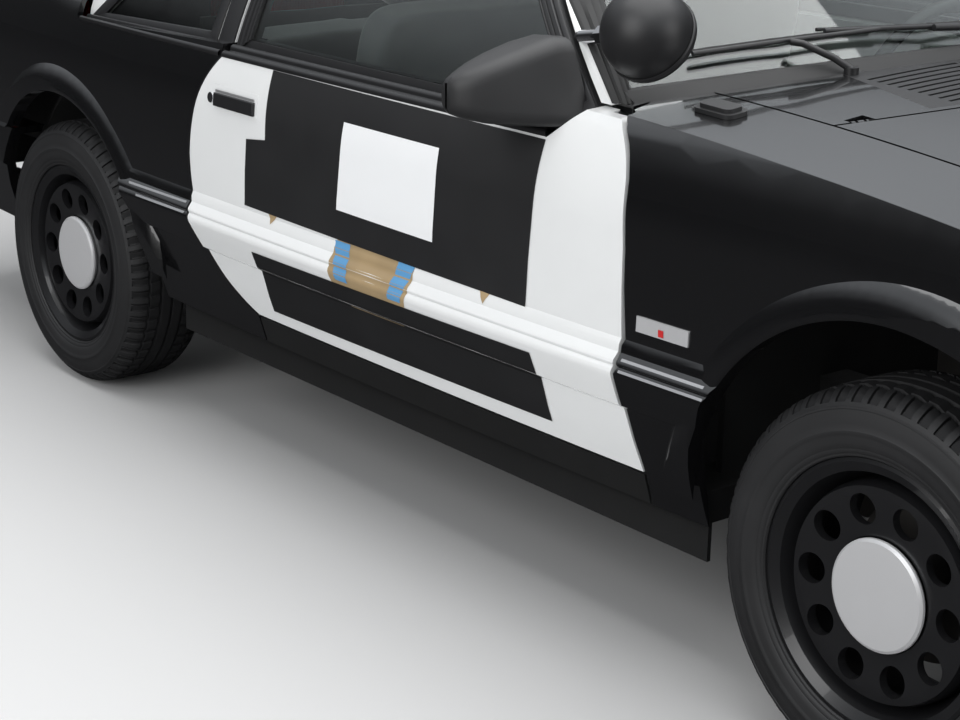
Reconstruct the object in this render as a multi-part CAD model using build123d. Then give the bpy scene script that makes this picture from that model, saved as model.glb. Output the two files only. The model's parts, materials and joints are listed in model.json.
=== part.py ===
from build123d import *
from math import asin, cos, degrees, radians, sin
import os

# Police patrol car, two-door notchback, in millimetres.
# +X points forwards, +Y to the car's left, +Z up. The origin is on the ground, under the middle.

# Overall sizes
LENGTH = 4554.0
WHEELBASE = 2553.0
FRONT_AXLE_X = 1347.0
REAR_AXLE_X = FRONT_AXLE_X - WHEELBASE
NOSE_X = LENGTH / 2
TAIL_X = -LENGTH / 2
TRACK = 1412.0
BODY_HALF_WIDTH = 857.0
ROOF_Z = 1323.0

# Body section, as half width and height at the middle of the car
SILL_BOTTOM_Z = 308.0
DOOR_BOTTOM_Z = 370.0
MOULDING_TOP_Z = 585.0
MOULDING_BOTTOM_Z = 493.0
MOULDING_PROUD = 19.0
BELT_Z = 907.0
GLASS_BASE_Z = 943.0
PLAN_RADIUS = 30000.0

# Hood and deck surface: a crown across, falling forwards and rearwards
CROWN_Z = 1022.0
CROWN_RADIUS = 6100.0
HOOD_FALL_X = 500.0
HOOD_FALL_RADIUS = 8000.0
NOSE_FALL_X = 1500.0
NOSE_FALL_RADIUS = 2200.0
DECK_FALL_X = -500.0
DECK_FALL_RADIUS = 25000.0

# Wall thicknesses and gaps
SKIN = 14.0
HOOD_THICK = 25.0
DOOR_THICK = 110.0
ROOF_THICK = 28.0
GLASS_THICK = 5.0
GLASS_INSET = 3.0
SHUT_GAP = 6.0
SEAT = 0.3

# Doors
DOOR_FRONT_X = 816.0
DOOR_REAR_X = -545.0
DOOR_HINGE_X = 746.0
DOOR_HINGE_Y = 790.0
DOOR_SKIN_LIP = 15.0
SILL_FRONT_X = DOOR_FRONT_X + 22.0
SILL_REAR_X = DOOR_REAR_X + 200.0
HINGE_PIN_RADIUS = 6.0
HINGE_EYE_RADIUS = 13.0
HINGE_EYE_HEIGHT = 22.0
HINGE_HEIGHTS = (480.0, 720.0)

# Hood and trunk lid
HOOD_HALF_WIDTH = 612.0
HOOD_REAR_SIDE_X = 1046.0
HOOD_REAR_MIDDLE_X = 1140.0
HOOD_FRONT_X = 2150.0
TRUNK_HALF_WIDTH = 600.0
TRUNK_FRONT_X = -1330.0
TRUNK_REAR_X = -2226.0

# Wheels and tyres
TYRE_RADIUS = 322.0
TYRE_HALF_WIDTH = 109.0
RIM_RADIUS = 212.0
WHEEL_Y = TRACK / 2
WHEEL_HOLES = 10
WHEEL_HOLE_RADIUS = 25.0
WHEEL_HOLE_PITCH = 134.0
CAP_RADIUS = 90.0
SPINDLE_RADIUS = 22.0
SPINDLE_CLEARANCE = 0.05
KINGPIN_Y = 620.0
KINGPIN_RADIUS = 14.0

# Wheel openings, as centre, radius and how far the lip stands out
FRONT_ARCH = (1374.0, 355.0, 403.0)
REAR_ARCH = (-1170.0, 335.0, 394.0)
FLARE_WIDTH = 66.0
FLARE_PROUD = 20.0

PARTS = {}


def keep(name, shape):
    """Store one named piece."""
    PARTS[name] = shape


def mirrored(shape):
    """The same piece on the other side of the car."""
    return mirror(shape, about=Plane.XZ)


def block(x0, x1, y0, y1, z0, z1):
    """A block between two opposite corners."""
    return Pos((x0 + x1) / 2, (y0 + y1) / 2, (z0 + z1) / 2) * Box(x1 - x0, y1 - y0, z1 - z0)


def rod_y(x, z, radius, y0, y1):
    """A round bar along Y."""
    return Pos(x, (y0 + y1) / 2, z) * Rot(90, 0, 0) * Cylinder(radius, abs(y1 - y0))


def rod_x(y, z, radius, x0, x1):
    """A round bar along X."""
    return Pos((x0 + x1) / 2, y, z) * Rot(0, 90, 0) * Cylinder(radius, abs(x1 - x0))


def rod_z(x, y, radius, z0, z1):
    """A round bar along Z."""
    return Pos(x, y, (z0 + z1) / 2) * Cylinder(radius, abs(z1 - z0))


def side_prism(outline, y0, y1):
    """Extrude a side-view outline, given in X and Z, from y0 to y1."""
    plane = Plane(origin=(0, max(y0, y1), 0), x_dir=(1, 0, 0), z_dir=(0, -1, 0))
    return extrude(plane * make_face(outline), amount=abs(y1 - y0))


def front_prism(outline, x0, x1):
    """Extrude a front-view outline, given in Y and Z, from x0 to x1."""
    plane = Plane(origin=(min(x0, x1), 0, 0), x_dir=(0, 1, 0), z_dir=(1, 0, 0))
    return extrude(plane * make_face(outline), amount=abs(x1 - x0))


def plan_prism(outline, z0, z1):
    """Extrude a plan-view outline, given in X and Y, from z0 to z1."""
    return extrude(Pos(0, 0, min(z0, z1)) * make_face(outline), amount=abs(z1 - z0))


def swept_side(section, inset):
    """Turn a right-hand body section about the far upright axis that gives the side its bow."""
    turn = 5.0
    axis = Axis((0, PLAN_RADIUS - BODY_HALF_WIDTH, 0), (0, 0, 1))
    face = Pos(0, inset, 0) * (Plane.YZ * make_face(section))
    return revolve(face, axis, revolution_arc=2 * turn).rotate(axis, -turn)


def plan_bow(x):
    """How far the side lies inboard of its widest place, at x."""
    return x * x / (2 * PLAN_RADIUS)


def body_side(inset=0.0):
    """All that lies inboard of the right-hand side below the glass."""
    w = BODY_HALF_WIDTH
    # Half width and height, from the sill up to where the shoulder starts to turn in
    corners = [
        (w - 72, 200),
        (w - 69, SILL_BOTTOM_Z - 5),
        (w - 49, DOOR_BOTTOM_Z - 5),
        (w - 27, 430),
        (w - 12, MOULDING_BOTTOM_Z - 7),
        (w - 1, MOULDING_BOTTOM_Z),
        (w + 9, 520),
        (w + 18, 545),
        (w + MOULDING_PROUD, 552),
        (w + 17, 558),
        (w + 12.5, 563),
        (w + 14.5, 568),
        (w + 13, 573),
        (w + 2, MOULDING_TOP_Z),
        (w + 0.5, 597),
        (w - 5, 607),
        (w - 1, 690),
        (w, 790),
    ]
    points = [(-y, z) for y, z in corners]
    side = Polyline(*points)
    shoulder = ThreePointArc(points[-1], (-(w - 9), 878), (-(w - 28), 942))
    crease = ThreePointArc(shoulder @ 1, (-(w - 43), 961), (-(w - 66), 977))
    closing = Polyline(crease @ 1, (-(w - 96), 992), (-(w - 96), 1100), (1000, 1100), (1000, 200), points[0])
    return swept_side([side, shoulder, crease, closing], inset)


def plain_side(inset=0.0):
    """The same without the moulding, for inner walls."""
    w = BODY_HALF_WIDTH
    points = [(-(w - 72), 150), (-(w - 49), DOOR_BOTTOM_Z - 5), (-(w - 12), 490), (-w, 790)]
    side = Polyline(*points)
    shoulder = ThreePointArc(points[-1], (-(w - 9), 878), (-(w - 28), 942))
    crease = ThreePointArc(shoulder @ 1, (-(w - 43), 961), (-(w - 66), 977))
    closing = Polyline(crease @ 1, (-(w - 96), 992), (-(w - 96), 1100), (1000, 1100), (1000, 150), points[0])
    return swept_side([side, shoulder, crease, closing], inset)


def crown_section(drop, bottom=100.0):
    """The section under the crown, across the car."""
    half = 950.0
    top = CROWN_Z - drop
    edge = top - half**2 / (2 * CROWN_RADIUS)
    arc = ThreePointArc((-half, edge), (0, top), (half, edge))
    return [arc, Polyline((half, edge), (half, bottom), (-half, bottom), (-half, edge))]


def hood_top(drop=0.0):
    """All that lies under the hood and fender surface, ahead of where it starts to fall."""
    turn = degrees(asin((NOSE_FALL_X - HOOD_FALL_X) / HOOD_FALL_RADIUS))
    axis = Axis((HOOD_FALL_X, 0, CROWN_Z - HOOD_FALL_RADIUS), (0, 1, 0))
    face = Pos(HOOD_FALL_X, 0, 0) * (Plane.YZ * make_face(crown_section(drop)))
    rear = revolve(face, axis, revolution_arc=turn)
    centre_x = NOSE_FALL_X - NOSE_FALL_RADIUS * sin(radians(turn))
    centre_z = CROWN_Z - HOOD_FALL_RADIUS + (HOOD_FALL_RADIUS - NOSE_FALL_RADIUS) * cos(radians(turn))
    nose_axis = Axis((centre_x, 0, centre_z), (0, 1, 0))
    nose = revolve(face.rotate(axis, turn), nose_axis, revolution_arc=35)
    return rear + nose


def deck_top(drop=0.0):
    """All that lies under the deck and quarter surface, behind where it starts to fall."""
    axis = Axis((0, 0, CROWN_Z - DECK_FALL_RADIUS), (0, -1, 0))
    face = Plane.YZ * make_face(crown_section(drop))
    return Pos(DECK_FALL_X, 0, 0) * revolve(face, axis, revolution_arc=5.5)


def leaning_cylinder(x, z, lift, radius, facing, inset=0.0):
    """A curved screen: a large cylinder whose face passes x, z with its normal lifted by lift degrees."""
    normal = Vector(facing * cos(radians(lift)), 0, sin(radians(lift)))
    along = Vector(-facing * sin(radians(lift)), 0, cos(radians(lift)))
    centre = Vector(x, 0, z) - normal * (radius + inset)
    return Plane(origin=centre, x_dir=(0, 1, 0), z_dir=along) * Cylinder(radius, 4000)


# Greenhouse sizes
WINDSHIELD = (860.0, 1010.0, 59.0, 2700.0)
BACKLIGHT = (-1270.0, 990.0, 54.0, 4500.0)
ROOF_MIDDLE_X = -180.0
ROOF_LONG_RADIUS = 9000.0
ROOF_CROSS_RADIUS = 4000.0


def cabin_side(inset=0.0):
    """All that lies inboard of the right-hand glass."""
    glass = ThreePointArc((-802, 930), (-718, 1108), (-600, 1265))
    rail = ThreePointArc((-600, 1265), (-575, 1287), (-540, 1303))
    closing = Polyline((-540, 1303), (-540, 1400), (1000, 1400), (1000, 860), (-815, 860), (-802, 930))
    return swept_side([glass, rail, closing], inset)


def roof_top(drop=0.0):
    """All that lies under the roof."""
    half = 900.0
    edge = ROOF_Z - half**2 / (2 * ROOF_CROSS_RADIUS)
    arc = ThreePointArc((-half, edge), (0, ROOF_Z), (half, edge))
    section = [arc, Polyline((half, edge), (half, 860), (-half, 860), (-half, edge))]
    face = Pos(0, 0, -drop) * (Plane.YZ * make_face(section))
    axis = Axis((0, 0, ROOF_Z - ROOF_LONG_RADIUS), (0, 1, 0))
    solid = revolve(face, axis, revolution_arc=24).rotate(axis, -12)
    return Pos(ROOF_MIDDLE_X, 0, 0) * solid


def cabin(inset=0.0, bottom=900.0):
    """The whole greenhouse as one closed form, inset all round."""
    x_w, z_w, lift_w, radius_w = WINDSHIELD
    x_b, z_b, lift_b, radius_b = BACKLIGHT
    side = cabin_side(inset)
    form = side & mirrored(side)
    form &= roof_top(inset)
    form &= leaning_cylinder(x_w, z_w, lift_w, radius_w, 1, inset)
    form &= leaning_cylinder(x_b, z_b, lift_b, radius_b, -1, inset)
    return form & block(-1500, 1000, -900, 900, bottom, 1400)


# Shared envelopes, made once
SIDE = body_side()
SIDE_STRUCT = plain_side(SKIN + SEAT)
HOOD_SURF = hood_top()
CABIN = cabin()
CABIN_IN = cabin(ROOF_THICK, 850)
GLASS_OUT = cabin(GLASS_INSET, 850)
GLASS_IN = cabin(GLASS_INSET + GLASS_THICK, 850)


# Window frame and window outlines from the side, as X and Z corners
PILLAR_FOOT = (675.0, 962.0)
PILLAR_HEAD = (345.0, 1230.0)
DOOR_FRAME_TOP_Z = 1241.0
DOOR_FRAME_REAR_X = -428.0
FRAME_BAR = 30.0
UPPER_GAP = 11.0

# The door's front edge, as X behind its foremost line and Z, and the raised corner above it
DOOR_EDGE = ((-22.0, DOOR_BOTTOM_Z), (-4.0, 500.0), (0.0, 620.0), (0.0, 760.0), (5.0, 850.0))
DOOR_CORNER = ((26.0, 922.0), (80.0, 975.0))
DOOR_CORNER_THICK = 30.0
DOOR_BELT_REAR = 117.0
DOOR_FOOT_REAR = 200.0
SWING_MARGIN = 5.0
# Added above the edge's straight part, where the swept form narrows quickly
SWING_LIFT = 3.0


def door_edges(grow):
    """The door's front edge with its corner, then its rear edge with the bottom line."""
    f = DOOR_FRONT_X + grow
    r = DOOR_REAR_X - grow
    z0 = DOOR_BOTTOM_Z - grow
    points = [(f - back, z) for back, z in DOOR_EDGE[1:]]
    front = Polyline((f + 22, z0), *points)
    over, end = [(f - back, z) for back, z in DOOR_CORNER]
    corner = ThreePointArc(points[-1], over, end)
    rear = ThreePointArc((r + DOOR_BELT_REAR, BELT_Z), (r, 682), (r + DOOR_FOOT_REAR, z0))
    bottom = Line((r + DOOR_FOOT_REAR, z0), (f + 22, z0))
    return [front, corner], [rear, bottom]


def door_outline():
    """The door's outline from the side, below the belt, front corner raised to the pillar's foot."""
    ahead, behind = door_edges(0.0)
    corner_x, corner_z = DOOR_FRONT_X - DOOR_CORNER[1][0], DOOR_CORNER[1][1]
    foot_x, foot_z = PILLAR_FOOT
    belt = [(DOOR_FRONT_X - 210, BELT_Z), (DOOR_REAR_X + DOOR_BELT_REAR, BELT_Z)]
    top = Polyline((corner_x, corner_z), (foot_x + 21, corner_z), (foot_x, foot_z - SEAT), *belt)
    return ahead + [top] + behind


def door_cut_outline():
    """The hole in the body that the door fills, open upwards past the belt."""
    ahead, behind = door_edges(SHUT_GAP)
    corner_x = DOOR_FRONT_X + SHUT_GAP - DOOR_CORNER[1][0]
    rear_x = DOOR_REAR_X - SHUT_GAP + DOOR_BELT_REAR
    top = Polyline((corner_x, DOOR_CORNER[1][1]), (corner_x, 1010), (rear_x, 1010), (rear_x, BELT_Z))
    return ahead + [top] + behind


# How far the side stands out from its widest plain line, by height, for the door's swing
SIDE_OFFSETS = (
    (370.0, -47.0), (430.0, -27.0), (486.0, -12.0), (493.0, -1.0), (520.0, 9.0), (545.0, 18.0), (558.0, 19.0),
    (573.0, 14.5), (585.0, 2.0), (607.0, 0.0), (790.0, 0.0), (850.0, -3.0), (870.0, -6.5), (890.0, -11.0),
    (906.0, -14.0), (922.0, -18.0), (936.0, -24.0), (950.0, -32.0), (963.0, -44.0), (975.0, -60.0),
)


def between(table, value):
    """Read a table of pairs at a value between its rows."""
    for (v0, r0), (v1, r1) in zip(table, table[1:]):
        if value <= v1:
            return r0 + (r1 - r0) * (value - v0) / (v1 - v0)
    return table[-1][1]


def door_swing_space():
    """What the right-hand door's front edge sweeps ahead of its hinge, with a margin."""
    steps = 8
    corner = door_edges(0.0)[0][1]
    edge = [(z, DOOR_FRONT_X - back) for back, z in DOOR_EDGE]
    edge += [((corner @ (i / steps)).Y, (corner @ (i / steps)).X) for i in range(1, steps + 1)]
    points = []
    for z, offset in SIDE_OFFSETS:
        x = between(edge, z)
        out = BODY_HALF_WIDTH + offset - plan_bow(x) - DOOR_HINGE_Y
        lift = SWING_LIFT if z > DOOR_EDGE[-1][1] else 0.0
        points.append(((((x - DOOR_HINGE_X) ** 2 + out**2) ** 0.5 + SWING_MARGIN), z + lift))
    low = SILL_BOTTOM_Z
    high = points[-1][1] + SWING_MARGIN
    profile = [(0, low), (points[0][0], low), *points, (points[-1][0], high), (0, high)]
    disc = revolve(Plane.XZ * make_face(Polyline(*profile, close=True)), Axis.Z, revolution_arc=360)
    disc = disc.rotate(Axis.Z, 180)
    return Pos(DOOR_HINGE_X, -DOOR_HINGE_Y, 0) * (disc & block(0, 300, -300, 300, 200, 1100))


def frame_outline(grow=0.0, rear_grow=0.0):
    """The door's window frame from the side."""
    g = grow
    rear = DOOR_FRAME_REAR_X - rear_grow
    return Polyline(
        (DOOR_FRONT_X - 211 + g, BELT_Z + SEAT - g),
        (PILLAR_FOOT[0] + g, PILLAR_FOOT[1] + g),
        (PILLAR_HEAD[0] + g, PILLAR_HEAD[1] + g),
        (PILLAR_HEAD[0] - 60, DOOR_FRAME_TOP_Z + g),
        (rear + 30, DOOR_FRAME_TOP_Z + g),
        (rear, DOOR_FRAME_TOP_Z - 30),
        (rear, BELT_Z + SEAT - g),
        close=True,
    )


def door_window_outline():
    """The glazed opening inside the frame."""
    b = FRAME_BAR
    return Polyline(
        (520, GLASS_BASE_Z),
        (560, 1000),
        (PILLAR_HEAD[0] - 20, PILLAR_HEAD[1] - b),
        (PILLAR_HEAD[0] - 70, DOOR_FRAME_TOP_Z - b),
        (DOOR_FRAME_REAR_X + 60, DOOR_FRAME_TOP_Z - b),
        (DOOR_FRAME_REAR_X + 45, DOOR_FRAME_TOP_Z - b - 20),
        (DOOR_FRAME_REAR_X + 45, GLASS_BASE_Z),
        close=True,
    )


QUARTER_FRONT_X = -523.0
QUARTER_BELT_Z = 930.0
QUARTER_BELT_SLOPE = 0.033
QUARTER_SIDE_END_X = -1095.0


def quarter_belt(x):
    """Height of the quarter window's lower edge at x."""
    return QUARTER_BELT_Z + (x - QUARTER_FRONT_X) * QUARTER_BELT_SLOPE


def quarter_window_outline():
    """The fixed side window behind the door."""
    return Polyline(
        (QUARTER_FRONT_X, quarter_belt(QUARTER_FRONT_X)),
        (-1051, quarter_belt(-1051)),
        (-760, 1148),
        (-722, 1180),
        (-660, 1200),
        (QUARTER_FRONT_X + 10, 1212),
        close=True,
    )


def screen_aperture(bottom, side, top, trim):
    """A screen's aperture from the front: half widths and heights up one edge, with crowned ends."""
    t = trim
    low = [(y - t, z) for y, z in side]
    (y_end, z_end) = low[-1]
    low[-1] = (y_end, z_end - t)
    under = ThreePointArc((-low[0][0], low[0][1]), (0, bottom), low[0])
    over = ThreePointArc(low[-1], (0, top - t), (-low[-1][0], low[-1][1]))
    return [under, Polyline(*low), over, Polyline(*[(-y, z) for y, z in reversed(low)])]


WINDSHIELD_SIDE = ((750.0, 940.0), (750.0, 975.0), (653.0, 1116.0), (562.0, 1238.0), (532.0, 1250.0))
BACKLIGHT_SIDE = ((640.0, 975.0), (655.0, 1000.0), (525.0, 1225.0), (495.0, 1238.0))


def windshield_outline(trim=0.0):
    """The windshield's aperture, seen from the front."""
    return screen_aperture(955, WINDSHIELD_SIDE, 1272, trim)


def backlight_outline(trim=0.0):
    """The rear window's aperture, seen from behind."""
    return screen_aperture(1003, BACKLIGHT_SIDE, 1258, trim)


def side_opening(outline):
    """A side outline cut through both walls of the cabin, one tool for each side."""
    right = side_prism(outline, -900, -400)
    return right, mirrored(right)


def roof():
    """Roof skin with all its pillars, in one shell."""
    shell = CABIN - CABIN_IN
    shell -= front_prism(windshield_outline(), 100, 1000)
    shell -= front_prism(backlight_outline(), -1500, -500)
    for tool in side_opening(frame_outline(SHUT_GAP, UPPER_GAP)):
        shell -= tool
    for tool in side_opening(quarter_window_outline()):
        shell -= tool
    shell -= hood_top(-SEAT)
    shell -= deck_top(-SEAT) & block(-1600, QUARTER_SIDE_END_X, -900, 900, 0, 1100)
    shell -= block(QUARTER_SIDE_END_X, 690, -900, 900, 800, BELT_Z)
    end = QUARTER_SIDE_END_X
    front = DOOR_FRAME_REAR_X + 10
    skirt = [(end, quarter_belt(end) + SEAT), (end, 850), (front, 850), (front, quarter_belt(front) + SEAT)]
    for tool in side_opening(Polyline(*skirt, close=True)):
        shell -= tool
    return shell


def arch_cut(arch, reach=0.0):
    """The wheel opening through the right-hand side."""
    x, z, radius = arch
    return rod_y(x, z, radius + reach, -1000, -500)


def flare(arch, half_width):
    """The soft lip that stands out round a wheel opening."""
    x, z, radius = arch
    lip = half_width + FLARE_PROUD
    skin = half_width - SKIN
    outer = radius + FLARE_WIDTH
    face = ThreePointArc((radius, lip - 3), (radius + 6, lip), (radius + 14, lip - 0.5))
    slope = ThreePointArc((radius + 14, lip - 0.5), (radius + 42, lip - 8), (outer, half_width - 6))
    back = Polyline((outer, half_width - 6), (outer, skin), (radius, skin), (radius, lip - 3))
    plane = Plane(origin=(x, 0, z), x_dir=(0, 0, 1), z_dir=(1, 0, 0))
    return revolve(plane * make_face([face, slope, back]), Axis((x, 0, z), (0, 1, 0)), revolution_arc=360)


def nose_plan(x_front, half_width, corner):
    """The nose seen from above: a shallow bow with rounded corners."""
    radius = 4200.0
    x_side = x_front - half_width**2 / (2 * radius)
    bow = ThreePointArc((x_side, -half_width), (x_front, 0), (x_side, half_width))
    back = Polyline((x_side, half_width), (300, half_width), (300, -half_width), (x_side, -half_width))
    face = make_face([bow, back])
    corners = face.vertices().filter_by_position(Axis.X, x_side - 5, x_side + 5)
    return fillet(corners, corner)


def tail_plan(x_rear, half_width, corner):
    """The tail seen from above."""
    radius = 6500.0
    x_side = x_rear + half_width**2 / (2 * radius)
    bow = ThreePointArc((x_side, -half_width), (x_rear, 0), (x_side, half_width))
    back = Polyline((x_side, half_width), (-300, half_width), (-300, -half_width), (x_side, -half_width))
    face = make_face([bow, back])
    corners = face.vertices().filter_by_position(Axis.X, x_side - 5, x_side + 5)
    return fillet(corners, corner)


def raised(face, z0, z1):
    """A plan face extruded between two heights."""
    return extrude(Pos(0, 0, z0) * face, amount=z1 - z0)


# Front end sizes
FENDER_FRONT_X = 2040.0
HEADER_X = 2212.0
HEADER_LEAN = 17.0
BUMPER_TOP_Z = 572.0
BUMPER_BOTTOM_Z = 262.0


def header_face(inset=0.0):
    """The slightly leaning face with the headlamps, as a closed form behind it."""
    return leaning_cylinder(HEADER_X, BUMPER_TOP_Z, HEADER_LEAN, 4200.0, 1, inset)


def fender():
    """Right-hand front fender with its flared opening."""
    zone = block(600, FENDER_FRONT_X, -950, -HOOD_HALF_WIDTH - SHUT_GAP, SILL_BOTTOM_Z, 1100)
    zone -= side_prism(door_cut_outline(), -950, -500)
    zone -= door_swing_space()
    skin = (SIDE & HOOD_SURF & zone) - (plain_side(SKIN) & hood_top(SKIN))
    lip = flare(FRONT_ARCH, BODY_HALF_WIDTH - plan_bow(FRONT_ARCH[0]))
    lip &= block(600, FENDER_FRONT_X, -950, -700, SILL_BOTTOM_Z, 1000) & body_side(-FLARE_PROUD)
    skin += lip
    skin -= arch_cut(FRONT_ARCH)
    skin -= block(500, SILL_FRONT_X + SHUT_GAP, -950, -500, 200, DOOR_BOTTOM_Z)
    skin -= block(FRONT_ARCH[0] + 150, FENDER_FRONT_X + 10, -950, -500, 200, BUMPER_TOP_Z + SHUT_GAP)
    return skin


def both_sides(shape):
    """A right-hand form kept only where it lies inside the left-hand one too."""
    return shape & mirrored(shape)


HULL = both_sides(SIDE)


# Lid hinges, as the axis's X and Z, and the distance of each hinge from the middle
HOOD_HINGE = (1048.0, 969.5, 560.0)
TRUNK_HINGE = (-1318.0, 1000.0, 100.0)
LID_EYE_RADIUS = 7.0
LID_PIN_RADIUS = 3.5
LID_EYE_WIDTH = 14.0
LID_TONGUE = 32.0


def lid_hinge_tongues(hinge, facing):
    """The two eyes on a lid, with short tongues to its edge."""
    x, z, y_mid = hinge
    tongues = []
    for y in (-y_mid, y_mid):
        y0 = y - LID_EYE_WIDTH / 2
        y1 = y + LID_EYE_WIDTH / 2
        x0, x1 = sorted((x, x + facing * LID_TONGUE))
        eye = rod_y(x, z, LID_EYE_RADIUS, y0, y1) + block(x0, x1, y0, y1, z - LID_EYE_RADIUS, z + 2)
        tongues.append(eye - rod_y(x, z, LID_PIN_RADIUS + SPINDLE_CLEARANCE, y0 - 5, y1 + 5))
    return tongues[0] + tongues[1]


def lid_hinge_seats(panel, hinge, facing):
    """The notches, ears and pins of two lid hinges, on the fixed panel."""
    x, z, y_mid = hinge
    for y in (-y_mid, y_mid):
        x0, x1 = sorted((x - facing * 14, x + facing * 60))
        panel -= block(x0, x1, y - 22, y + 22, z - 60, z + 60)
        for ear in (-22, 13):
            back, front = sorted((x - facing * 24, x))
            panel += block(back, front, y + ear, y + ear + 9, z - LID_EYE_RADIUS, z + 4)
            panel += rod_y(x, z, LID_EYE_RADIUS, y + ear, y + ear + 9)
        panel += rod_y(x, z, LID_PIN_RADIUS, y - 22, y + 22)
    return panel


def hood():
    """Hood panel with its hinge arms."""
    w = HOOD_HALF_WIDTH
    rear = ThreePointArc((HOOD_REAR_SIDE_X, -w), (HOOD_REAR_MIDDLE_X, 0), (HOOD_REAR_SIDE_X, w))
    front = ThreePointArc((HOOD_FRONT_X - 55, w), (HOOD_FRONT_X, 0), (HOOD_FRONT_X - 55, -w))
    edges = [rear, Line((HOOD_REAR_SIDE_X, w), (HOOD_FRONT_X - 55, w)), front]
    edges.append(Line((HOOD_FRONT_X - 55, -w), (HOOD_REAR_SIDE_X, -w)))
    zone = plan_prism(edges, 500, 1100)
    panel = (hood_top() & zone) - hood_top(HOOD_THICK)
    return panel + lid_hinge_tongues(HOOD_HINGE, 1)


COWL_HALF_WIDTH = 760.0
COWL_INNER_Y = 674.0
COWL_REAR_X = 640.0


def cowl_panel():
    """The fixed panel between the windshield and the hood, with a hole for the grille."""
    w = HOOD_HALF_WIDTH
    g = SHUT_GAP
    rear_x = HOOD_REAR_SIDE_X - g
    front = ThreePointArc((rear_x, -w), (HOOD_REAR_MIDDLE_X - g, 0), (rear_x, w))
    step_x = DOOR_FRONT_X - 80
    wide = COWL_HALF_WIDTH
    end = COWL_REAR_X
    wing_x = PILLAR_FOOT[0] + 9
    side = [(rear_x, w), (step_x, w), (step_x, wide), (wing_x, wide)]
    side += [(wing_x, COWL_INNER_Y), (end, COWL_INNER_Y)]
    left = Polyline(*side)
    right = Polyline(*[(x, -y) for x, y in reversed(side)])
    zone = plan_prism([front, left, Line(side[-1], (end, -COWL_INNER_Y)), right], 800, 1100)
    panel = (hood_top() & zone) - hood_top(SKIN)
    panel -= cabin(ROOF_THICK + 4, 850)
    panel -= grille_zone(0)
    return lid_hinge_seats(panel, HOOD_HINGE, 1)


def grille_zone(inset):
    """The opening for the louvred grille."""
    front = ThreePointArc((1076 - inset, -424 + inset), (1122 - inset, 0), (1076 - inset, 424 - inset))
    rear = ThreePointArc((832 + inset, 366 - inset), (880 + inset, 0), (832 + inset, -366 + inset))
    left = Line(front @ 1, rear @ 0)
    right = Line(rear @ 1, front @ 0)
    return plan_prism([front, left, rear, right], 850, 1100)


COWL_SLOTS = ((-362, -128), (-120, 120), (128, 362))


def cowl_grille():
    """Louvred air inlet: cross slats in a frame."""
    plate = (hood_top() & grille_zone(SEAT)) - hood_top(SKIN)
    slots = [block(x, x + 7, y0, y1, 900, 1100) for x in range(886, 1070, 22) for y0, y1 in COWL_SLOTS]
    return plate - slots


def screen(outline, x0, x1, clear):
    """One curved glass set in its aperture."""
    glass = (GLASS_OUT - GLASS_IN) & front_prism(outline, x0, x1)
    return glass - clear


def windshield():
    """Front glass."""
    return screen(windshield_outline(SEAT), 100, 1000, hood_top(-SEAT))


def rear_window():
    """Rear glass."""
    return screen(backlight_outline(SEAT), -1500, -500, deck_top(-SEAT))


def door_shell():
    """Right-hand door below the belt, with the pocket at its front for the hinges."""
    solid = SIDE & side_prism(door_outline(), -950, -500)
    solid -= plain_side(DOOR_THICK)
    pocket = block(DOOR_HINGE_X - 28, 900, -950, -500, 300, 1000)
    solid -= plain_side(DOOR_SKIN_LIP) & pocket
    solid -= plain_side(DOOR_CORNER_THICK) & block(PILLAR_FOOT[0] + 5, 900, -950, -500, 900, 1000)
    above = block(500, 900, -950, -500, 850, 1100)
    solid -= above - hood_top(SHUT_GAP)
    for z in HINGE_HEIGHTS:
        top = z + HINGE_EYE_HEIGHT
        arm = block(DOOR_HINGE_X - 40, DOOR_HINGE_X, -DOOR_HINGE_Y - 9, -DOOR_HINGE_Y + 9, z, top)
        arm += rod_z(DOOR_HINGE_X, -DOOR_HINGE_Y, HINGE_EYE_RADIUS, z, z + HINGE_EYE_HEIGHT)
        solid += arm
        solid -= rod_z(DOOR_HINGE_X, -DOOR_HINGE_Y, HINGE_PIN_RADIUS + SPINDLE_CLEARANCE, z - 60, z + 90)
    return solid


def door_frame():
    """Window frame and belt strip of the right-hand door."""
    ring = (CABIN & block(-600, 700, -900, -400, 850, 1300)) - CABIN_IN
    ring &= side_prism(frame_outline(), -900, -400)
    ring -= side_prism(door_window_outline(), -900, -400)
    return ring


def door_glass():
    """Side glass of the right-hand door."""
    glass = (GLASS_OUT - GLASS_IN) & side_prism(door_window_outline(), -900, -400)
    return glass & block(-600, 700, -900, -300, 850, 1300)


def quarter_glass():
    """Both fixed rear side windows."""
    pane = (GLASS_OUT - GLASS_IN) & side_prism(quarter_window_outline(), -900, -400)
    return pane + mirrored(pane)


def nose_envelope(x_front, inset=0.0):
    """The hull with the nose's plan shape."""
    plan = raised(nose_plan(x_front - inset, 806 - inset, 150), 150, 1000)
    return both_sides(body_side(inset) if inset == 0 else plain_side(inset)) & plan


def header_form(inset=0.0):
    """The nose between the hood and the bumper, as a closed form."""
    form = nose_envelope(HEADER_X + 12, inset) & header_face(inset) & hood_top(inset)
    return form & block(FENDER_FRONT_X - 60, 2300, -900, 900, BUMPER_TOP_Z - 40, 1000)


LAMP_INNER_Y = 345.0
LAMP_OUTER_Y = 700.0
LAMP_BOTTOM_Z = 600.0
LAMP_TOP_Z = 708.0


def lamp_window(y0, y1, z0, z1):
    """A rounded front-view window."""
    mid = Pos((y0 + y1) / 2, (z0 + z1) / 2)
    return mid * RectangleRounded(y1 - y0, z1 - z0, 14)


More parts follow.
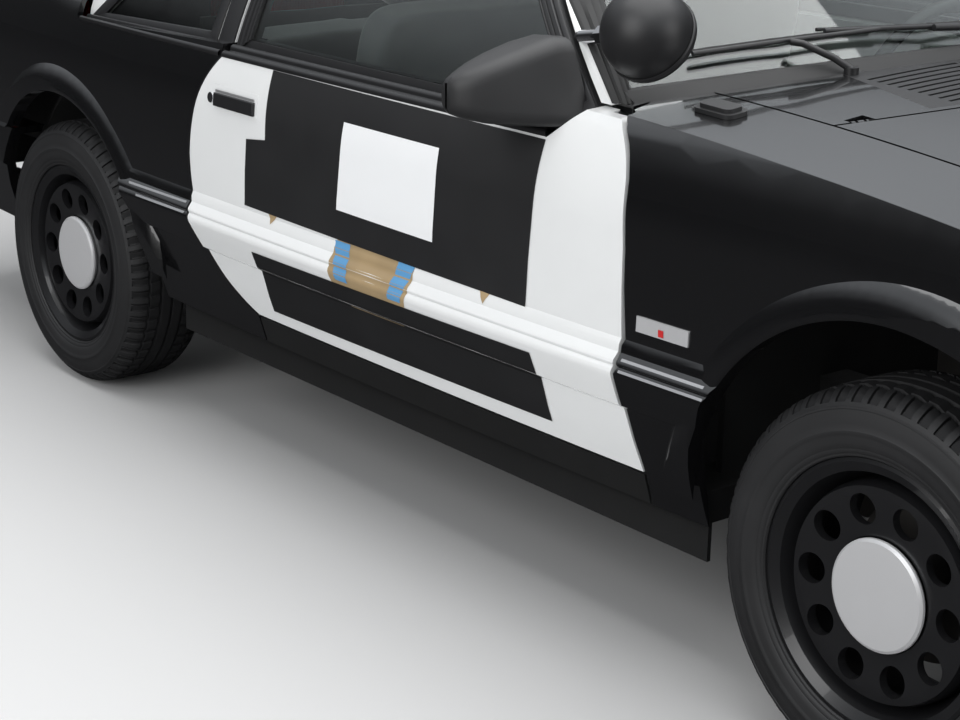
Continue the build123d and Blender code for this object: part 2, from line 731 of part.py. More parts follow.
def header_panel():
    """Nose panel with its openings for lamps and grille."""
    zone = block(FENDER_FRONT_X + 4, 2300, -900, 900, BUMPER_TOP_Z + 4, 1000)
    shell = (header_form() & zone) - header_form(30)
    shell -= hood_cut()
    shell -= front_extrude(lamp_window(LAMP_INNER_Y, LAMP_OUTER_Y, LAMP_BOTTOM_Z, LAMP_TOP_Z), 1900, 2300)
    shell -= front_extrude(lamp_window(-LAMP_OUTER_Y, -LAMP_INNER_Y, LAMP_BOTTOM_Z, LAMP_TOP_Z), 1900, 2300)
    shell -= front_extrude(lamp_window(-300, 300, LAMP_BOTTOM_Z + 6, LAMP_TOP_Z - 18), 1900, 2300)
    for side in (-1, 1):
        y0, y1 = sorted((side * 712, side * 900))
        shell -= block(2092, 2300, y0, y1, LAMP_BOTTOM_Z, LAMP_TOP_Z)
        foot_y = side * 450
        shell += block(2160, 2176, foot_y - 12, foot_y + 12, BUMPER_TOP_Z + SEAT, 590)
    tab = plain_side(SKIN + SEAT) - plain_side(SKIN + SEAT + 6)
    tab &= block(FENDER_FRONT_X - 20, FENDER_FRONT_X + 20, -950, -500, 620, 700)
    return shell + tab + mirrored(tab)


def front_extrude(face, x0, x1):
    """Extrude a face drawn in Y and Z along X."""
    plane = Plane(origin=(x0, 0, 0), x_dir=(0, 1, 0), z_dir=(1, 0, 0))
    return extrude(plane * face, amount=x1 - x0)


def hood_cut():
    """The space that the hood and its gap take."""
    w = HOOD_HALF_WIDTH + SHUT_GAP
    x_side = HOOD_FRONT_X - 55 + SHUT_GAP
    front = ThreePointArc((x_side, w), (HOOD_FRONT_X + SHUT_GAP, 0), (x_side, -w))
    back = Polyline((x_side, -w), (900, -w), (900, w), (x_side, w))
    return plan_prism([front, back], 600, 1200)


def headlamps():
    """Two flush lamps."""
    body = header_form(3) - header_form(29)
    window = lamp_window(LAMP_INNER_Y + SEAT, LAMP_OUTER_Y - SEAT, LAMP_BOTTOM_Z + SEAT, LAMP_TOP_Z - SEAT)
    lens = front_extrude(window, 1900, 2300)
    return body & (lens + mirrored(lens))


def marker_lamps():
    """Two wrap-round corner lamps."""
    body = header_form(2) - header_form(29)
    zone = block(2092 + SEAT, 2300, -900, -712 - SEAT, LAMP_BOTTOM_Z + SEAT, LAMP_TOP_Z - SEAT)
    return body & (zone + mirrored(zone))


def grille():
    """Slotted grille between the headlamps."""
    body = header_form(12) - header_form(29)
    half = 300 - SEAT
    window = lamp_window(-half, half, LAMP_BOTTOM_Z + 6 + SEAT, LAMP_TOP_Z - 18 - SEAT)
    plate = body & front_extrude(window, 1900, 2300)
    for k in range(4):
        z = LAMP_BOTTOM_Z + 16 + k * 18
        plate -= block(1900, 2300, -284, -8, z, z + 11)
        plate -= block(1900, 2300, 8, 284, z, z + 11)
    return plate


def front_bumper():
    """Bumper cover with its lower inlet, from arch to arch."""
    z0 = BUMPER_BOTTOM_Z
    plan_out = raised(nose_plan(NOSE_X, 810, 170), z0, BUMPER_TOP_Z)
    plan_in = raised(nose_plan(NOSE_X - 24, 786, 150), z0 - 50, BUMPER_TOP_Z - 24)
    zone = block(FRONT_ARCH[0] + 150 + SHUT_GAP, 2400, -950, 950, z0, BUMPER_TOP_Z)
    form = HULL & plan_out & zone
    form -= both_sides(plain_side(24)) & plan_in
    form -= raised(nose_plan(NOSE_X - 110, 700, 120), z0, BUMPER_TOP_Z + 10)
    form -= block(1500, FENDER_FRONT_X - 20, -780, 780, z0, BUMPER_TOP_Z + 10)
    form -= arch_cut(FRONT_ARCH)
    form -= mirrored(arch_cut(FRONT_ARCH))
    form -= block(2100, 2300, -480, 480, 300, 385)
    form -= block(2100, 2300, -300, 300, 425, 450)
    return form


def quarter_panel():
    """Right-hand rear quarter with its flared opening."""
    zone = block(QUARTER_REAR_X, SILL_REAR_X, -950, -TRUNK_HALF_WIDTH - SHUT_GAP, SILL_BOTTOM_Z, 1100)
    outer = SIDE & zone
    wall = outer - plain_side(SKIN)
    post = (outer & block(-735, SILL_REAR_X, -950, -500, DOOR_BOTTOM_Z, 938)) - plain_side(DOOR_THICK)
    end = QUARTER_SIDE_END_X
    top = (outer & deck_top() & block(QUARTER_REAR_X, end, -950, 0, 800, 1100)) - deck_top(SKIN)
    wall -= block(-3000, -500, -950, -500, 850, 1200) - deck_top()
    panel = wall + top + post
    above = [(end, quarter_belt(end)), (-300, quarter_belt(-300)), (-300, 1200), (end, 1200)]
    panel -= side_prism(Polyline(*above, close=True), -950, -500)
    lip = flare(REAR_ARCH, BODY_HALF_WIDTH - plan_bow(REAR_ARCH[0]))
    panel += lip & zone & body_side(-FLARE_PROUD)
    panel -= arch_cut(REAR_ARCH)
    panel -= side_prism(door_cut_outline(), -950, -500)
    panel -= block(SILL_REAR_X - SHUT_GAP, -300, -950, -500, 100, DOOR_BOTTOM_Z)
    panel -= block(-3000, REAR_ARCH[0] - 200, -950, -500, 100, REAR_BUMPER_TOP_Z + SHUT_GAP)
    return panel


REAR_BUMPER_TOP_Z = 592.0
REAR_BUMPER_BOTTOM_Z = 330.0
QUARTER_REAR_X = -2140.0
TAIL_SPLIT_Z = 812.0
TAIL_WALL = 25.0
TAIL_LAMP = (205.0, 900.0, 632.0, 790.0)


def tail_form(inset=0.0):
    """The tail between bumper and deck, as a closed form."""
    plan = raised(tail_plan(TRUNK_REAR_X - 4 + inset, 800 - inset, 80), 500, 1100)
    hull = HULL if inset == 0 else both_sides(plain_side(inset))
    return hull & plan & deck_top(inset)


def lid_zone(grow=0.0):
    """The space of the trunk lid with its turned-down rear edge."""
    w = TRUNK_HALF_WIDTH + grow
    return block(-2400, TRUNK_FRONT_X + grow, -w, w, TAIL_SPLIT_Z - grow, 1100)


def trunk_lid():
    """Trunk lid with its turned-down rear edge."""
    inner = deck_top(HOOD_THICK) & raised(tail_plan(TRUNK_REAR_X + TAIL_WALL, 1000, 60), 500, 1100)
    return (tail_form() & lid_zone()) - inner + lid_hinge_tongues(TRUNK_HINGE, -1)


def deck_panel():
    """The fixed panel between the rear window and the trunk lid."""
    w = TRUNK_HALF_WIDTH
    zone = block(TRUNK_FRONT_X + SHUT_GAP, -1100, -w, w, 800, 1100)
    panel = (deck_top() & zone) - deck_top(SKIN) - cabin(ROOF_THICK + 4, 850)
    return lid_hinge_seats(panel, TRUNK_HINGE, -1)


def tail_panel():
    """Upright tail with its two lamp recesses."""
    zone = block(-2400, QUARTER_REAR_X - SEAT, -900, 900, REAR_BUMPER_TOP_Z + 4, 1000)
    form = (tail_form() & zone) - tail_form(TAIL_WALL)
    for y in (-450, 450):
        form += block(-2208, -2190, y - 12, y + 12, REAR_BUMPER_TOP_Z + SEAT, REAR_BUMPER_TOP_Z + 14)
    return form - lid_zone(SHUT_GAP) - lamp_recess(0)


def lamp_recess(inset):
    """Both tail lamp openings."""
    y0, y1, z0, z1 = TAIL_LAMP
    box = block(-2400, QUARTER_REAR_X - 30 - inset, y0 + inset, y1, z0 + inset, z1 - inset)
    return box + mirrored(box)


def tail_lamps():
    """Two wrap-round lamps with cross ribs."""
    return (tail_form(2) - tail_form(TAIL_WALL)) & lamp_recess(SEAT)


def rear_bumper():
    """Bumper cover round the tail."""
    z0 = REAR_BUMPER_BOTTOM_Z
    plan_out = raised(tail_plan(TAIL_X, 818, 120), z0, REAR_BUMPER_TOP_Z)
    plan_in = raised(tail_plan(TAIL_X + 24, 794, 100), z0 - 30, REAR_BUMPER_TOP_Z - 20)
    zone = block(-2400, REAR_ARCH[0] - 200 - SHUT_GAP, -950, 950, z0, REAR_BUMPER_TOP_Z)
    form = HULL & plan_out & zone
    form -= both_sides(plain_side(24)) & plan_in
    form -= raised(tail_plan(TAIL_X + 90, 730, 100), z0, REAR_BUMPER_TOP_Z + 10)
    form -= arch_cut(REAR_ARCH)
    form -= mirrored(arch_cut(REAR_ARCH))
    for y in PLATE_HOLES_Y:
        for z in PLATE_HOLES_Z:
            form -= rod_x(y, z, PLATE_HOLE_RADIUS, TAIL_X - 50, TAIL_X + 60)
    return form


PLATE_HOLES_Y = (-89.0, 89.0)
PLATE_HOLES_Z = (400.0, 521.0)
PLATE_HOLE_RADIUS = 3.2


def tyre(x, side):
    """One tyre about its own axle."""
    r = TYRE_RADIUS
    h = TYRE_HALF_WIDTH
    seat = RIM_RADIUS - 12 + SEAT
    half = [(seat, h - 27), (seat + 17, h - 25), (seat + 17, h - 10)]
    tread = [(r - 12, h - 22), (r - 2, h - 38), (r, h - 60)]
    wall = ThreePointArc(half[-1], (RIM_RADIUS + 46, h), tread[0])
    other = ThreePointArc((r - 12, -h + 22), (RIM_RADIUS + 46, -h), (seat + 17, -h + 10))
    outline = [Polyline(*half), wall, Polyline(*tread, *[(a, -b) for a, b in reversed(tread)]), other]
    outline.append(Polyline(*[(a, -b) for a, b in reversed(half)], half[0]))
    return wheel_turned(make_face(outline), x, side)


def wheel_turned(face, x, side):
    """Revolve a section drawn as radius and outboard offset about a wheel's axle."""
    plane = Plane(origin=(x, side * WHEEL_Y, TYRE_RADIUS), x_dir=(0, 0, 1), z_dir=(-side, 0, 0))
    return revolve(plane * face, Axis((x, 0, TYRE_RADIUS), (0, 1, 0)), revolution_arc=360)


def wheel(x, side):
    """Pressed wheel with a ring of holes and a hub."""
    rim = RIM_RADIUS - 12
    barrel = Polyline(
        (rim, -83), (rim + 12, -89), (rim + 16, -95), (rim + 10, -97), (rim - 8, -88), (rim - 16, -60),
        (rim - 28, -20), (rim - 28, 20), (rim - 14, 62), (rim - 6, 88), (rim + 10, 97), (rim + 16, 95),
        (rim + 12, 89), (rim, 83), (rim - 8, 62), (rim - 20, 24), (rim - 20, -24), (rim - 8, -60),
        close=True,
    )
    disc = Polyline(
        (SPINDLE_RADIUS + SPINDLE_CLEARANCE, -20), (60, -20), (66, 62), (150, 66), (168, 60), (rim - 27, 15),
        (rim - 22, 15), (rim - 22, 24), (176, 66), (170, 82), (158, 84), (92, 76), (88, 66),
        (SPINDLE_RADIUS + SPINDLE_CLEARANCE, 66),
        close=True,
    )
    solid = wheel_turned(make_face(barrel), x, side) + wheel_turned(make_face(disc), x, side)
    y_out = side * (WHEEL_Y + 100)
    y_in = side * (WHEEL_Y + 40)
    for k in range(WHEEL_HOLES):
        angle = radians(360 / WHEEL_HOLES * k)
        hole_x = x + WHEEL_HOLE_PITCH * cos(angle)
        hole_z = TYRE_RADIUS + WHEEL_HOLE_PITCH * sin(angle)
        solid -= rod_y(hole_x, hole_z, WHEEL_HOLE_RADIUS, y_in, y_out)
    return solid


def hub_cap(x, side):
    """Flat disc over the hub."""
    base = 66 + SEAT
    section = [(0, base), (80, base), (CAP_RADIUS, 78), (CAP_RADIUS, 84), (86, 88), (0, 88)]
    return wheel_turned(make_face(Polyline(*section, close=True)), x, side)


JACK_FLANGE_Z = 238.0


def rocker():
    """Right-hand sill with its flange."""
    outer = SIDE & block(SILL_REAR_X, SILL_FRONT_X, -950, 0, SILL_BOTTOM_Z, DOOR_BOTTOM_Z - SHUT_GAP)
    inner = SIDE_STRUCT & block(-735, 960, -950, 0, SILL_BOTTOM_Z, DOOR_BOTTOM_Z - SHUT_GAP)
    sill = (outer + inner) - plain_side(DOOR_THICK)
    flange = block(-735, 960, -760, -752, JACK_FLANGE_Z, SILL_BOTTOM_Z)
    return sill + flange


TUNNEL_RADIUS = 120.0
TUNNEL_Z = 330.0


def tunnel_space(radius):
    """The space under the tunnel, from the firewall to the rear axle."""
    return rod_x(0, TUNNEL_Z, radius, -1100, 900) + block(-1100, 900, -radius, radius, 150, TUNNEL_Z)


def floor_pan():
    """Floor with its tunnel, sills and the raised rear part."""
    pan = block(-1000, 860, -570, 570, 250, 262) + block(-735, 860, -700, 700, 250, 262)
    pan -= tunnel_space(TUNNEL_RADIUS - 2)
    tunnel = tunnel_space(TUNNEL_RADIUS) & block(-1000, 860, -200, 200, 250, 600)
    tunnel -= tunnel_space(TUNNEL_RADIUS - 12)
    side = rocker()
    join = block(-735, 860, -760, -695, 250, 262)
    return pan + tunnel + join + mirrored(join) + side + mirrored(side)


def firewall():
    """Firewall with the hinge pillars and cowl sides."""
    plate = block(862, 876, -650, 650, 262 + SEAT, 1000) & hood_top(SKIN + SEAT)
    plate -= tunnel_space(TUNNEL_RADIUS - 12)
    foot = DOOR_BOTTOM_Z - SHUT_GAP + SEAT
    pillar = block(DOOR_HINGE_X, 862, -742, -620, foot, 1000) & hood_top(SKIN + SEAT)
    pillar -= door_swing_space()
    for z in HINGE_HEIGHTS:
        for z0 in (z - HINGE_EYE_HEIGHT - 1, z + HINGE_EYE_HEIGHT + 1):
            lug = block(DOOR_HINGE_X, DOOR_HINGE_X + 13, -DOOR_HINGE_Y, -640, z0, z0 + HINGE_EYE_HEIGHT)
            lug += rod_z(DOOR_HINGE_X, -DOOR_HINGE_Y, HINGE_EYE_RADIUS, z0, z0 + HINGE_EYE_HEIGHT)
            pillar += lug
        pillar += rod_z(DOOR_HINGE_X, -DOOR_HINGE_Y, HINGE_PIN_RADIUS, z - 30, z + 50)
    return plate + pillar + mirrored(pillar)


AXLE_TUBE_RADIUS = 38.0


def spindle(x, side, y_in):
    """The stub that one wheel turns on."""
    return rod_y(x, TYRE_RADIUS, SPINDLE_RADIUS, side * y_in, side * (WHEEL_Y + 65))


def knuckle(side):
    """Steering knuckle: upright, kingpin, spindle, brake disc and steering arm."""
    x = FRONT_AXLE_X
    y = side * KINGPIN_Y
    body = block(x - 30, x + 30, *sorted((y - 22, y + 22)), TYRE_RADIUS - 95, TYRE_RADIUS + 110)
    body += spindle(x, side, KINGPIN_Y)
    body += rod_y(x, TYRE_RADIUS, 134, side * (KINGPIN_Y + 36), side * (KINGPIN_Y + 58))
    body += block(x - 150, x, *sorted((y - 14, y + 14)), TYRE_RADIUS - 60, TYRE_RADIUS - 40)
    for z0, z1 in ((TYRE_RADIUS - 130, TYRE_RADIUS - 95), (TYRE_RADIUS + 110, TYRE_RADIUS + 150)):
        body += rod_z(x, y, KINGPIN_RADIUS, z0, z1)
    return body


def control_arms():
    """Lower arms, strut towers, rails and cross member that carry the front wheels and engine."""
    x = FRONT_AXLE_X
    frame = block(x - 60, x + 60, -400, 400, 190, 250)
    frame += block(2010, 2030, -600, 600, 400, 700)
    for side in (-1, 1):
        y0, y1 = sorted((side * 345, side * 415))
        frame += block(876 + SEAT, 2010, y0, y1, 400, 480)
        frame += block(x - 60, x + 60, y0, y1, 250, 400)
        eye = TYRE_RADIUS - 128
        arm = block(x - 25, x + 25, *sorted((side * 380, side * KINGPIN_Y)), eye, eye + 24)
        arm += rod_z(x, side * KINGPIN_Y, 32, eye, eye + 24)
        tower = block(x - 90, x + 90, *sorted((side * 415, side * 424)), 400, 860)
        top = TYRE_RADIUS + 120
        tower += block(x - 25, x + 25, *sorted((side * 424, side * KINGPIN_Y)), top, top + 26)
        tower += rod_z(x, side * KINGPIN_Y, 32, top, top + 26)
        hole = KINGPIN_RADIUS + SPINDLE_CLEARANCE
        part = arm + tower - rod_z(x, side * KINGPIN_Y, hole, 100, 700)
        frame += part
    return frame


def engine_block():
    """Engine as one plain block."""
    return block(1000, 1660, -250, 250, 250 + SEAT, 780)


def driveline():
    """Gearbox and propeller shaft."""
    box = rod_x(0, 335, 95, 420, 1000 - SEAT)
    shaft = rod_x(0, 335, 38, REAR_AXLE_X + 150, 420)
    return box + shaft


def rear_axle():
    """Axle tubes with the differential housing and the wheel stubs."""
    x = REAR_AXLE_X
    tube = rod_y(x, TYRE_RADIUS, AXLE_TUBE_RADIUS, -590, 590)
    housing = Pos(x, 0, TYRE_RADIUS) * Sphere(125)
    nose = rod_x(0, 335, 50, x, x + 150 - SEAT)
    stubs = spindle(x, -1, 560) + spindle(x, 1, 560)
    drums = rod_y(x, TYRE_RADIUS, 118, -660, -600) + rod_y(x, TYRE_RADIUS, 118, 600, 660)
    drums += rod_y(x, TYRE_RADIUS, AXLE_TUBE_RADIUS, -602, 602)
    top = REAR_FLOOR_Z - SEAT
    seats = [block(x - 45, x + 45, y - 30, y + 30, TYRE_RADIUS + 20, top) for y in (-380, 380)]
    return tube + housing + nose + stubs + drums + seats


REAR_FLOOR_Z = 470.0
REAR_TUB_HALF = 540.0


def rear_tub():
    """Trunk floor, seat bulkhead and the rear wheel houses."""
    x, z, radius = REAR_ARCH
    half = REAR_TUB_HALF
    floor = block(-2110, -1000, -half, half, REAR_FLOOR_Z, REAR_FLOOR_Z + 12)
    wall = block(-1012, -1000, -half, half, 262 + SEAT, 900) - tunnel_space(TUNNEL_RADIUS - 12)
    liner = rod_y(x, z, radius + 30, -700, -half) - rod_y(x, z, radius + 22, -900, -half - 8)
    liner &= block(-1640, -736, -760, -half, 380, 900)
    side = liner + block(-2110, -1560, -half - 8, -half, REAR_FLOOR_Z, 700)
    return floor + wall + side + mirrored(side)


def fuel_tank():
    """Fuel tank under the trunk floor."""
    tank = block(-1980, -1480, -330, 330, 270, REAR_FLOOR_Z - SEAT)
    return fillet(tank.edges().filter_by(Axis.X), 30)


EXHAUST_Y = 470.0


def exhaust():
    """Twin pipes with their silencers and tail pipes."""
    pipes = []
    for side in (-1, 1):
        y = side * 280
        run = rod_x(y, 215, 27, -700, 900) + rod_x(y, 196, 52, -620, -200)
        run += rod_x(y, 215, 34, 200, 500)
        hanger = block(-300, -280, *sorted((y - 15, y + 15)), 240, 250 - SEAT)
        pipes.append(run + hanger)
        tail = rod_x(side * EXHAUST_Y, 300, 27, -2200, -1600) - rod_x(side * EXHAUST_Y, 300, 24, -2300, -1500)
        strap_y = sorted((side * (EXHAUST_Y - 14), side * (EXHAUST_Y + 14)))
        strap = block(-1700, -1680, *strap_y, 325, REAR_FLOOR_Z - SEAT)
        pipes.append(tail + strap)
    return pipes[0] + pipes[1] + pipes[2] + pipes[3]


# The steering column's place: its plane lies at the steering wheel's rim
STEERING_PLANE = Plane(origin=(405, 370, 860.5), x_dir=(0, 1, 0), z_dir=(-0.94, 0, 0.342))
STEERING_SHAFT_RADIUS = 11.0


def dashboard():
    """Instrument panel from pillar to pillar."""
    rear = 862 - SEAT
    face = [(780, 935), (560, 900), (520, 850), (560, 700), (640, 640)]
    panel = side_prism(Polyline((rear, 640), (rear, 930), *face, close=True), -612, 612)
    column = STEERING_PLANE * Pos(0, 0, -190) * Cylinder(28, 260)
    bore = STEERING_PLANE * Pos(0, 0, -110) * Cylinder(STEERING_SHAFT_RADIUS + SPINDLE_CLEARANCE, 110)
    return panel + column - bore


def steering_wheel():
    """Steering wheel: rim, hub and spokes, about the column."""
    rim = STEERING_PLANE * Torus(180, 14)
    hub = STEERING_PLANE * Pos(0, 0, -20) * Cylinder(45, 60)
    spokes = STEERING_PLANE * Pos(0, 0, -6) * Box(350, 34, 14)
    shaft = STEERING_PLANE * Pos(0, 0, -95) * Cylinder(STEERING_SHAFT_RADIUS, 100)
    return rim + hub + spokes + shaft


def front_seats():
    """Both front seats: cushion, back and head rest."""
    return seat(-370) + seat(370)


def seat(y):
    """One bucket seat on its plinth."""
    cushion = block(-260, 250, y - 250, y + 250, 400, 520)
    plinth = block(-200, 200, y - 210, y + 210, 262 + SEAT, 400)
    back = Polyline((-260, 470), (-140, 470), (-260, 1010), (-370, 1000), close=True)
    head = Polyline((-290, 1005), (-350, 1000), (-395, 1150), (-310, 1155), close=True)
    form = cushion + side_prism(back, y - 245, y + 245) + side_prism(head, y - 120, y + 120)
    return form + plinth


def rear_seat():
    """Rear bench."""
    cushion = block(-996, -600, -530, 530, 262 + SEAT, 500)
    back = Polyline((-860, 490), (-996, 490), (-996, 860), (-960, 870), close=True)
    return cushion + side_prism(back, -530, 530) - tunnel_space(TUNNEL_RADIUS + SEAT)


# Right-hand mirror's sections, from its outer end: Y, then the middle's X and Z, width, height, corner
MIRROR_SECTIONS = (
    (-978.0, 522.0, 975.0, 46.0, 50.0, 22.0),
    (-966.0, 526.0, 976.0, 76.0, 70.0, 30.0),
    (-900.0, 554.0, 986.0, 118.0, 114.0, 40.0),
    (-826.0, 590.0, 996.0, 128.0, 144.0, 40.0),
    (-770.0, 604.0, 998.0, 116.0, 150.0, 40.0),
)


def mirror_housing():
    """Right-hand door mirror: a rounded shell that widens to its foot on the window frame."""
    faces = []
    for y, x, z, width, height, corner in MIRROR_SECTIONS:
        plane = Plane(origin=(x, y, z), x_dir=(1, 0, 0), z_dir=(0, -1, 0))
        faces.append(plane * RectangleRounded(width, height, corner))
    shell = loft(faces)
    return shell - CABIN - (SIDE & side_prism(door_outline(), -950, -500))


# Spotlight: the middle of its rim, where the lens faces, and how far the bowl's middle lies behind the rim
SPOTLIGHT_CENTRE = (757.0, -745.0, 1084.0)
SPOTLIGHT_AIM = (-0.15, 0.80, -0.58)
SPOTLIGHT_RADIUS = 75.0
SPOTLIGHT_SET_BACK = 18.0
SPOTLIGHT_STEM = ((560.0, -728.0, 1061.0), (740.0, -762.0, 1092.0))


def spotlights():
    """Pillar spotlights: domed bowl with its lens turned down and inwards, and the stem to the pillar."""
    r = SPOTLIGHT_RADIUS
    plane = Plane(origin=SPOTLIGHT_CENTRE, z_dir=SPOTLIGHT_AIM)
    bowl = plane * Pos(0, 0, -SPOTLIGHT_SET_BACK) * Sphere((r**2 + SPOTLIGHT_SET_BACK**2) ** 0.5)
    bowl &= plane * Pos(0, 0, -60) * Cylinder(r + 10, 120)
    bowl += plane * Pos(0, 0, 6) * Cylinder(r + 1, 12)
    lamp = (bowl + rod_between(*SPOTLIGHT_STEM, 11)) - CABIN
    return lamp + mirrored(lamp)


def rod_between(start, end, radius):
    """A round bar from one point to another."""
    a = Vector(*start)
    b = Vector(*end)
    plane = Plane(origin=a, z_dir=(b - a).normalized())
    return plane * Pos(0, 0, (b - a).length / 2) * Cylinder(radius, (b - a).length)


def antenna_base():
    """Low rounded block of two layers on the fender top."""
    place = Pos(868, -690, 974) * Rot(6.4, 2.6, 0)
    lower = extrude(Pos(0, 0, -20) * RectangleRounded(88, 52, 16), amount=28)
    upper = extrude(RectangleRounded(72, 38, 12), amount=15)
    return place * (lower + upper) - hood_top(-SEAT)


def main():
    """Build every piece and write one file for each."""
    os.makedirs("parts", exist_ok=True)
    pairs = {
        "fender": fender(),
        "quarter_panel": quarter_panel(),
        "door_shell": door_shell(),
        "door_frame": door_frame(),
        "door_glass": door_glass(),
        "mirror": mirror_housing(),
        "knuckle": knuckle(-1),
    }
    for name, shape in pairs.items():
        keep(name + "_right", shape)
        keep(name + "_left", mirrored(shape))
    singles = (
        roof, hood, cowl_panel, cowl_grille, windshield, rear_window, quarter_glass, header_panel,
        headlamps, marker_lamps, grille, front_bumper, trunk_lid, deck_panel, tail_panel, tail_lamps,
        rear_bumper, floor_pan, firewall, control_arms, engine_block, driveline, rear_axle, rear_tub,
        fuel_tank, exhaust, dashboard, steering_wheel, front_seats, rear_seat, spotlights, antenna_base,
    )
    for build in singles:
        keep(build.__name__, build())
    for end, x in (("front", FRONT_AXLE_X), ("rear", REAR_AXLE_X)):
        for name, side in (("right", -1), ("left", 1)):
            keep(f"tyre_{end}_{name}", tyre(x, side))
            keep(f"wheel_{end}_{name}", wheel(x, side))
            keep(f"hub_cap_{end}_{name}", hub_cap(x, side))
    for name, shape in PARTS.items():
        export_step(shape, f"parts/{name}.step")


main()
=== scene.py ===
"""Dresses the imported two-door patrol car: finishes, smooth panels, tread, trim, signs, glass and cabin."""

from __future__ import annotations

import json
import logging
import math
from dataclasses import dataclass
from enum import Enum
from typing import Iterable, Sequence

import bmesh
import bpy
from mathutils import Matrix, Vector

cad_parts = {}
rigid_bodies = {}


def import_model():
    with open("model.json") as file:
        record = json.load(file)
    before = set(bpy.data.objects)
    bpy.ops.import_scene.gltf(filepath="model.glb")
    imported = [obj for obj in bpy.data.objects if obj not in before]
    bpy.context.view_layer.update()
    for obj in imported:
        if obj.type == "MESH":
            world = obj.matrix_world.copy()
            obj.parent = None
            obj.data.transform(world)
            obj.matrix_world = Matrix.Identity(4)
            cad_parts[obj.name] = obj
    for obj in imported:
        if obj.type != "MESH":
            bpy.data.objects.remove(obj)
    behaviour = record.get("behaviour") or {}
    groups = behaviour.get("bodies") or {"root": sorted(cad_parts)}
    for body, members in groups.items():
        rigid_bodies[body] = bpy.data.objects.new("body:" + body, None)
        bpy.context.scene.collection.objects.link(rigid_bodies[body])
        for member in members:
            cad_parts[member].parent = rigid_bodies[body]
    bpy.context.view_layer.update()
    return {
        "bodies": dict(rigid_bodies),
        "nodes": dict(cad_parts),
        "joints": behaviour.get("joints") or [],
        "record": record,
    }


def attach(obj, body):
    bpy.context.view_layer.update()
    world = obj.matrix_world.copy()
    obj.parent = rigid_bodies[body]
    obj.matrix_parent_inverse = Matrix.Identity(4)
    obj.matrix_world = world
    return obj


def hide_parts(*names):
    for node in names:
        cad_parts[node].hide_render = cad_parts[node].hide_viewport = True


LOG = logging.getLogger("patrol_car")
Point = tuple[float, float, float]
Line = Sequence[tuple[float, float]]
Profile = Sequence[tuple[float, float]]
RIGHT = -1
LEFT = 1


class Body(Enum):
    """The moving bodies that pieces ride on."""

    ROOT = "body"
    HOOD = "hood"
    TRUNK = "trunk_lid"
    DOOR_RIGHT = "door_right"
    DOOR_LEFT = "door_left"
    STEERING = "steering_wheel"
    WHEEL_FRONT_RIGHT = "wheel_front_right"
    WHEEL_FRONT_LEFT = "wheel_front_left"
    WHEEL_REAR_RIGHT = "wheel_rear_right"
    WHEEL_REAR_LEFT = "wheel_rear_left"


def side_name(side: int) -> str:
    """Name of one side of the car.

    Args:
        side: RIGHT or LEFT.

    Returns:
        "right" or "left".
    """
    return "right" if side == RIGHT else "left"


def door_body(side: int) -> Body:
    """Body of one door."""
    return Body.DOOR_RIGHT if side == RIGHT else Body.DOOR_LEFT


# Shader maths


class Wire:
    """A node socket that can be added, multiplied and so on."""

    def __init__(self, tree: bpy.types.NodeTree, socket: bpy.types.NodeSocket) -> None:
        """Keep the tree and the socket."""
        self.tree = tree
        self.socket = socket

    def _math(self, operation: str, first: "Wire | float", second: "Wire | float") -> "Wire":
        """Value of a Math node.

        Args:
            operation: what the node does.
            first: value or number of its first input.
            second: value or number of its second input.

        Returns:
            The node's output.
        """
        node = self.tree.nodes.new("ShaderNodeMath")
        node.operation = operation
        for socket, value in zip(node.inputs, (first, second)):
            if isinstance(value, Wire):
                self.tree.links.new(value.socket, socket)
            else:
                socket.default_value = value
        return Wire(self.tree, node.outputs[0])

    def __add__(self, other: "Wire | float") -> "Wire":
        """This value and another."""
        return self._math("ADD", self, other)

    def __sub__(self, other: "Wire | float") -> "Wire":
        """This value less another."""
        return self._math("SUBTRACT", self, other)

    def __rsub__(self, other: float) -> "Wire":
        """A number less this value."""
        return self._math("SUBTRACT", other, self)

    def __mul__(self, other: "Wire | float") -> "Wire":
        """This value times another."""
        return self._math("MULTIPLY", self, other)

    __radd__ = __add__
    __rmul__ = __mul__

    def to(self, socket: bpy.types.NodeSocket) -> None:
        """Link this value to an input."""
        self.tree.links.new(self.socket, socket)


class Board:
    """A node tree that nodes are put on."""

    def __init__(self, tree: bpy.types.NodeTree) -> None:
        """Keep the tree."""
        self.tree = tree

    def node(self, kind: str, settings: dict | None = None, sockets: dict | None = None) -> bpy.types.Node:
        """A node with its settings made first, then the values or links of its sockets.

        Args:
            kind: type of the node.
            settings: values of its own settings.
            sockets: a value, a Wire or an output for each named or numbered input.

        Returns:
            The node.
        """
        made = self.tree.nodes.new(kind)
        for key, value in (settings or {}).items():
            setattr(made, key, value)
        for key, value in (sockets or {}).items():
            if isinstance(value, Wire):
                value = value.socket
            if isinstance(value, bpy.types.NodeSocket):
                self.tree.links.new(value, made.inputs[key])
            else:
                made.inputs[key].default_value = value
        return made

    def wire(self, socket: bpy.types.NodeSocket) -> Wire:
        """An output as a value to count with."""
        return Wire(self.tree, socket)


